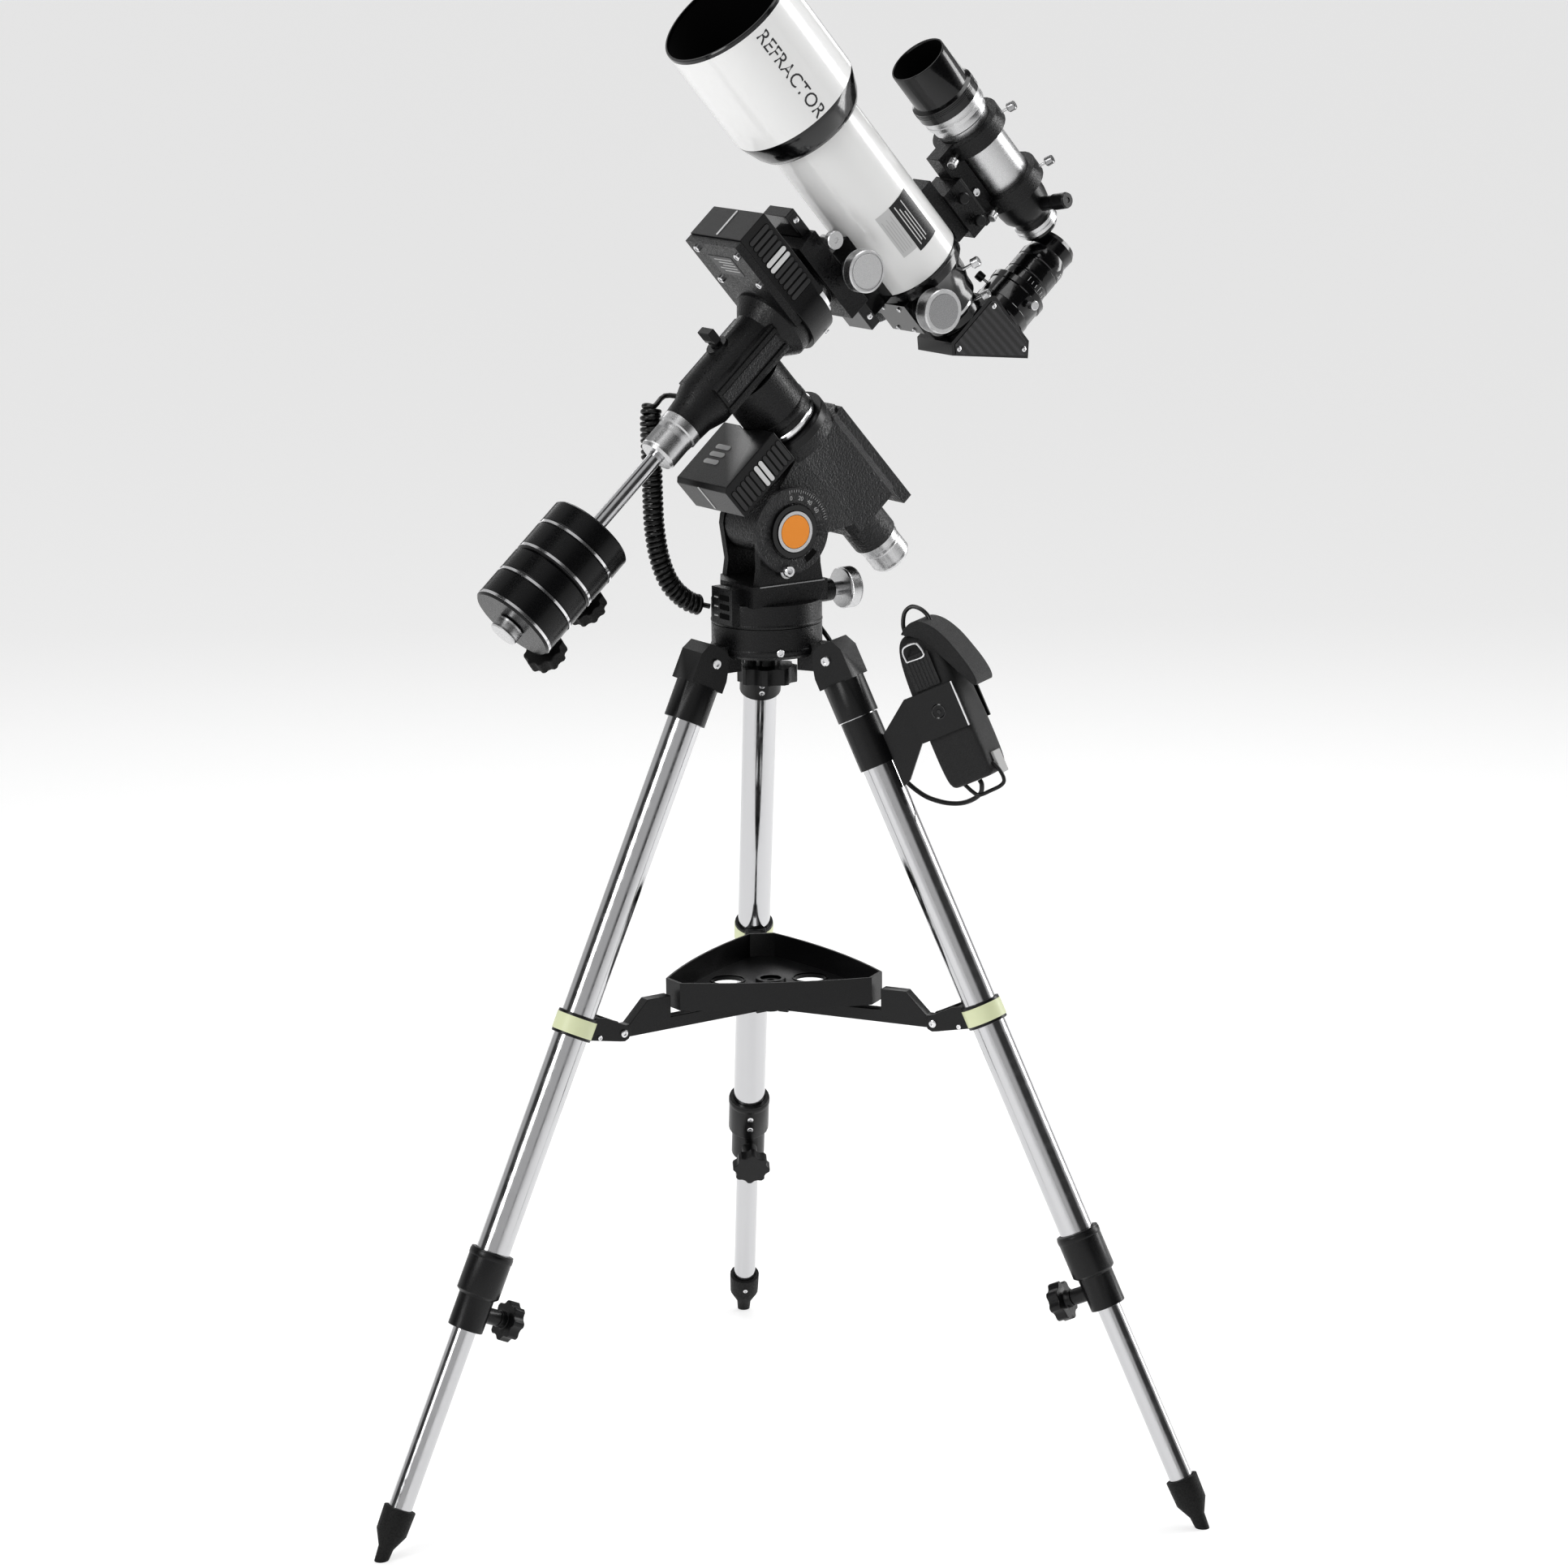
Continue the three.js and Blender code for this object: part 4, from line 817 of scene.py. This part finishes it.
    # diagonal and eyepiece
    side = local_frame(HEAD @ Vector((0, 0, 0)), DEC, POLAR, (0, -1, 0))
    outline = [(185, -173), (248, -239.5), (257, -230), (257, -168), (254, -164.5), (191, -164.5)]
    for sign, name in ((1, "near"), (-1, "far")):
        z0, z1 = (30, 30.8) if sign > 0 else (-30.8, -30)
        prism(f"diagonal_plate_{name}", outline, z0, z1, side, "diagonal", CARBON, bevel=0.2)
        for k, (x, z) in enumerate(((191, -171), (252, -170), (250, -232))):
            screw(f"diagonal_screw_{name}_{k}", facing(HEAD, (x, -30.6 * sign, z), (0, -sign, 0)), 2.8, 1.4, "diagonal")
    lathe("nose_collar", [(30.1, -149), (31.2, -150), (31.2, -158), (30.1, -159.5)], axis, "diagonal", GLOSS)
    thumbscrew("nose_screw", facing(HEAD, (OTA_X + 22, -22, -154), (0.7, -0.7, 0)), "diagonal", shaft=7, mat=SILVER)
    holder = local_frame(HEAD @ Vector((0, 0, EYE_Z)), (0, 1, 0), POLAR, DEC)
    lathe("holder_ring", [(31, 262), (31.8, 263), (31.8, 272), (31, 273)], holder, "diagonal", GLOSS)
    lathe("holder_lip", [(31, 292), (32.2, 293), (32.2, 300), (31, 301)], holder, "diagonal", GLOSS)
    for k, angle in enumerate((60, 180, 300)):
        c, s = math.cos(math.radians(angle)), math.sin(math.radians(angle))
        thumbscrew(f"holder_screw_{k}", facing(holder, (31 * c, 31 * s, 284), (c, s, 0)), "diagonal", shaft=5,
                   r=5, mat=SILVER if k else DARK)
    profile = [(0, 272), (15.9, 272), (15.9, 301.3), (24.5, 301.3), (25.5, 302.5), (25.5, 312), (24.6, 313),
               (24.6, 314.5), (25.5, 315.5), (25.5, 330), (24.6, 331), (24.6, 332.5), (25.5, 333.5), (25.5, 342),
               (22.5, 350), (23.5, 363), (21, 368), (19.5, 367.5), (13, 360), (11, 360.5)]
    lathe_for("eyepiece", profile, holder, GLOSS, knurl=(316.5, 329, 60, 0.35), smooth=22)
    lathe("eye_lens", [(11.2, 360.4), (6, 361), (0, 361.2)], holder, "diagonal", GLASS)
    for k in range(12):
        m = turned(holder, "Z", 150 + 12 * k)
        box(f"eyepiece_mark_{k}", 25.35, 25.75, -0.3, 0.3, 305, 309 if k % 3 else 311, m, "diagonal", LIGHT)
    number = axes_at(turned(holder, "Z", 214), (25.4, 0, 337.5), (0, 0, 1), (0, 1, 0), (1, 0, 0))
    numeral("eyepiece_number", "20", 7, number, "diagonal", LIGHT)


telescope()


# ---------- finder ----------
def finder():
    axis = shifted(HEAD, FINDER_X)
    body = "declination"
    parts = (
        ("cap", GLOSS, [(35.5, 26), (33, 27.2), (31.5, 28), (31.5, 71), (30.8, 72), (29.4, 72), (28.8, 71),
                        (28.8, 30.2)]),
        ("cap_ring", GLOSS, [(31, 12), (35.5, 12), (35.5, 26)]),
        ("silver_ring", SILVER, [(31, -1.5), (34, -1), (34, 3.5), (33.4, 4.2), (33.4, 5.2), (34, 5.9), (34, 11),
                                 (35, 12)]),
        ("tube", SILVER, [(28.5, -116), (29, -116), (29, -12), (31, -10), (31, -2.5), (30.5, -1.5)]),
        ("rear", PLASTIC, [(21, -155), (21, -150), (24, -146), (27, -141), (28.5, -132), (29, -122), (29.2, -116),
                           (28.6, -115.9)]),
        ("rear_ring", SILVER, [(19, -166), (23, -165.4), (23.5, -165), (23.5, -161.3), (22.8, -160.8),
                               (22.8, -160.2), (23.5, -159.7), (23.5, -156), (21, -155)]),
        ("rear_cup", GLOSS, [(12, -172.2), (18, -172.5), (20, -170), (20, -166), (19, -165.8)]),
    )
    for name, mat, profile in parts:
        o = lathe("finder_" + name, profile, axis, body, mat, steps=120)
        if name == "tube":
            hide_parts("finder_scope")
    lathe("finder_liner", [(28.7, 70), (28.7, 31), (25, 30.5)], axis, body, INSIDE)
    lathe("finder_lens", [(25.2, 30.6), (18, 33.5), (0, 35)], axis, body, GLASS)
    lathe("finder_eye_lens", [(12.2, -172), (0, -171.6)], axis, body, GLASS)
    for z in (20, 22, 24):
        lathe(f"cap_groove_{z}", [(35.4, z - 0.5), (35.8, z), (35.4, z + 0.5)], axis, body, PLASTIC, steps=120)
    for ring, z in (("front", -28), ("rear", -105)):
        r = 39 if ring == "front" else 38
        for k, angle in enumerate((-43, -157, 80)):
            c, s = math.cos(math.radians(angle)), math.sin(math.radians(angle))
            thumbscrew(f"finder_screw_{ring}_{k}", facing(axis, (r * c, r * s, z), (c, s, 0)), body, shaft=8,
                       r=5, length=9, mat=SILVER if k == 1 else TURNED)
    lamp = facing(axis, (0, 0, -139), (0.26, -0.966, 0))
    profile = [(7.5, 22), (7.5, 40), (8.6, 42), (8.6, 58), (7.6, 60), (3, 60), (2.8, 59.2), (0, 59.2)]
    lathe("finder_lamp", profile, lamp, body, PLASTIC, knurl=(44, 57, 30, 0.3), smooth=22)
    for k, (z, y) in enumerate(((-60, -20), (-92, -20))):
        thumbscrew(f"shoe_screw_{k}", facing(HEAD, (299, y, z), (0, -1, 0)), body, shaft=4, r=6, length=7, mat=PLASTIC)
    screw("shoe_bolt", facing(HEAD, (322, -11, -76), (0, -1, 0)), 4.5, 3, body)
    box("shoe_rail", 312, 316, -17, 17, -104, -48, HEAD, body, GLOSS, bevel=0.6)


finder()


# ---------- handset pouch ----------
def pouch():
    m = LEG["west"]
    body = BODY["handset_pouch"]
    lo, hi = (72.8, -24.3, -171.5), (126.8, 24.3, -8.5)
    bm = bmesh.new()
    bmesh.ops.create_cube(bm, size=1)
    bmesh.ops.subdivide_edges(bm, edges=bm.edges, cuts=22, use_grid_fill=True)
    for v in bm.verts:
        n = Vector((v.co.x * 2, v.co.y * 2, v.co.z * 2))
        e = 5.0 if n.z > 0 else 5.0 + 6.0 * min(1, -n.z * 1.5)
        k = max((abs(n.x) ** e + abs(n.y) ** e + abs(n.z) ** e) ** (1 / e), 1e-6)
        n /= k
        low = max(0.0, -n.z)
        top = max(0.0, n.z)
        x = n.x * (1 - 0.10 * top ** 2 - 0.03 * low)
        y = n.y * (1 - 0.12 * top ** 2) * (0.94 + 0.06 * math.cos(n.z * 2.5))
        z = n.z
        p = Vector((lo[0] + (x + 1) / 2 * (hi[0] - lo[0]), (y + 1) / 2 * (hi[1] - lo[1]) + lo[1],
                    lo[2] + (z + 1) / 2 * (hi[2] - lo[2])))
        v.co = m @ p
    o = finished(bm, "handset_pouch_look", body, FABRIC, smooth=60, slot="pouch_fabric")
    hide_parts("handset_pouch")
    # flap folded over the outer edge, from the top
    outline = [(p.x, p.y) for p in catmull([Vector(q) for q in (
        (90, -6, 0), (98, -1, 0), (107, 1.5, 0), (116, -1, 0), (126, -10, 0), (135, -25, 0), (142, -44, 0),
        (147, -61, 0), (149, -75, 0), (147, -81.5, 0), (142.5, -79, 0), (136, -67, 0), (127, -50, 0),
        (118, -33, 0), (109, -19, 0), (99, -11, 0))], 4)]
    side = axes_at(m, (0, 0, 0), (1, 0, 0), (0, 0, 1), (0, -1, 0))
    prism("pouch_flap", outline, -21, 21, side, body, FABRIC, smooth=50, bevel=2.0, slot="pouch_fabric")
    box("pouch_hem", 126.2, 129.4, -174, -150, -9, 9, side, body, GREY, bevel=0.8)
    # webbing band with a metal loop on the near side
    prism("pouch_webbing", [(84, -66), (113, -66), (113, -30), (84, -30)], 24.0, 25.6, side, body, WEB, bevel=0.5,
          slot="pouch_fabric")
    for k in range(7):
        x = 86 + 4.2 * k
        box(f"webbing_rib_{k}", x, x + 2.6, -65, -31, 25.4, 26.1, side, body, WEB, bevel=0.3, slot="pouch_fabric")
    loop = [Vector(p) for p in ((88, -34, 0), (88, -24, 0), (92, -19, 0), (104, -19, 0), (108, -24, 0), (108, -34, 0),
                                (88, -34, 0))]
    ring = catmull([side @ (p + Vector((0, 0, 26.6))) for p in loop], 6)
    tube("pouch_ring", ring, 1.3, body, BRIGHT, sides=10)
    strap = [side @ Vector(p) for p in ((88, -9, 4), (89, 2, 3), (95, 13, 1), (104, 16, 0), (112, 11, 0),
                                        (117, 2, 0), (119, -9, 2))]
    tube("pouch_cord_loop", catmull(strap, 8), 2.2, body, JACKET, sides=10)
    bail = [side @ Vector(p) for p in ((86, -168, 12), (92, -180, 12), (98, -186, 12), (112, -186, 12),
                                       (124, -185, 12), (130, -181, 12), (130, -171, 12), (126, -160, 12))]
    tube("pouch_bail", catmull(bail, 8), 2.0, body, PLASTIC, sides=10)
    emblem = axes_at(m, (100, -27.6, -92), (1, 0, 0), (0, 0, 1), (0, -1, 0))
    lathe("holder_emblem", [(6, 0), (7, 0.5), (8, 0)], emblem, BODY["handset_holder"], GLOSS, steps=48)
    lathe("holder_emblem_dot", [(2.6, 0), (2, 0.5), (0, 0.5)], emblem, BODY["handset_holder"], GLOSS, steps=32)
    box("holder_edge", 124.6, 126.2, -27.9, -27.4, -116, -68, m, BODY["handset_holder"], BRIGHT)


pouch()
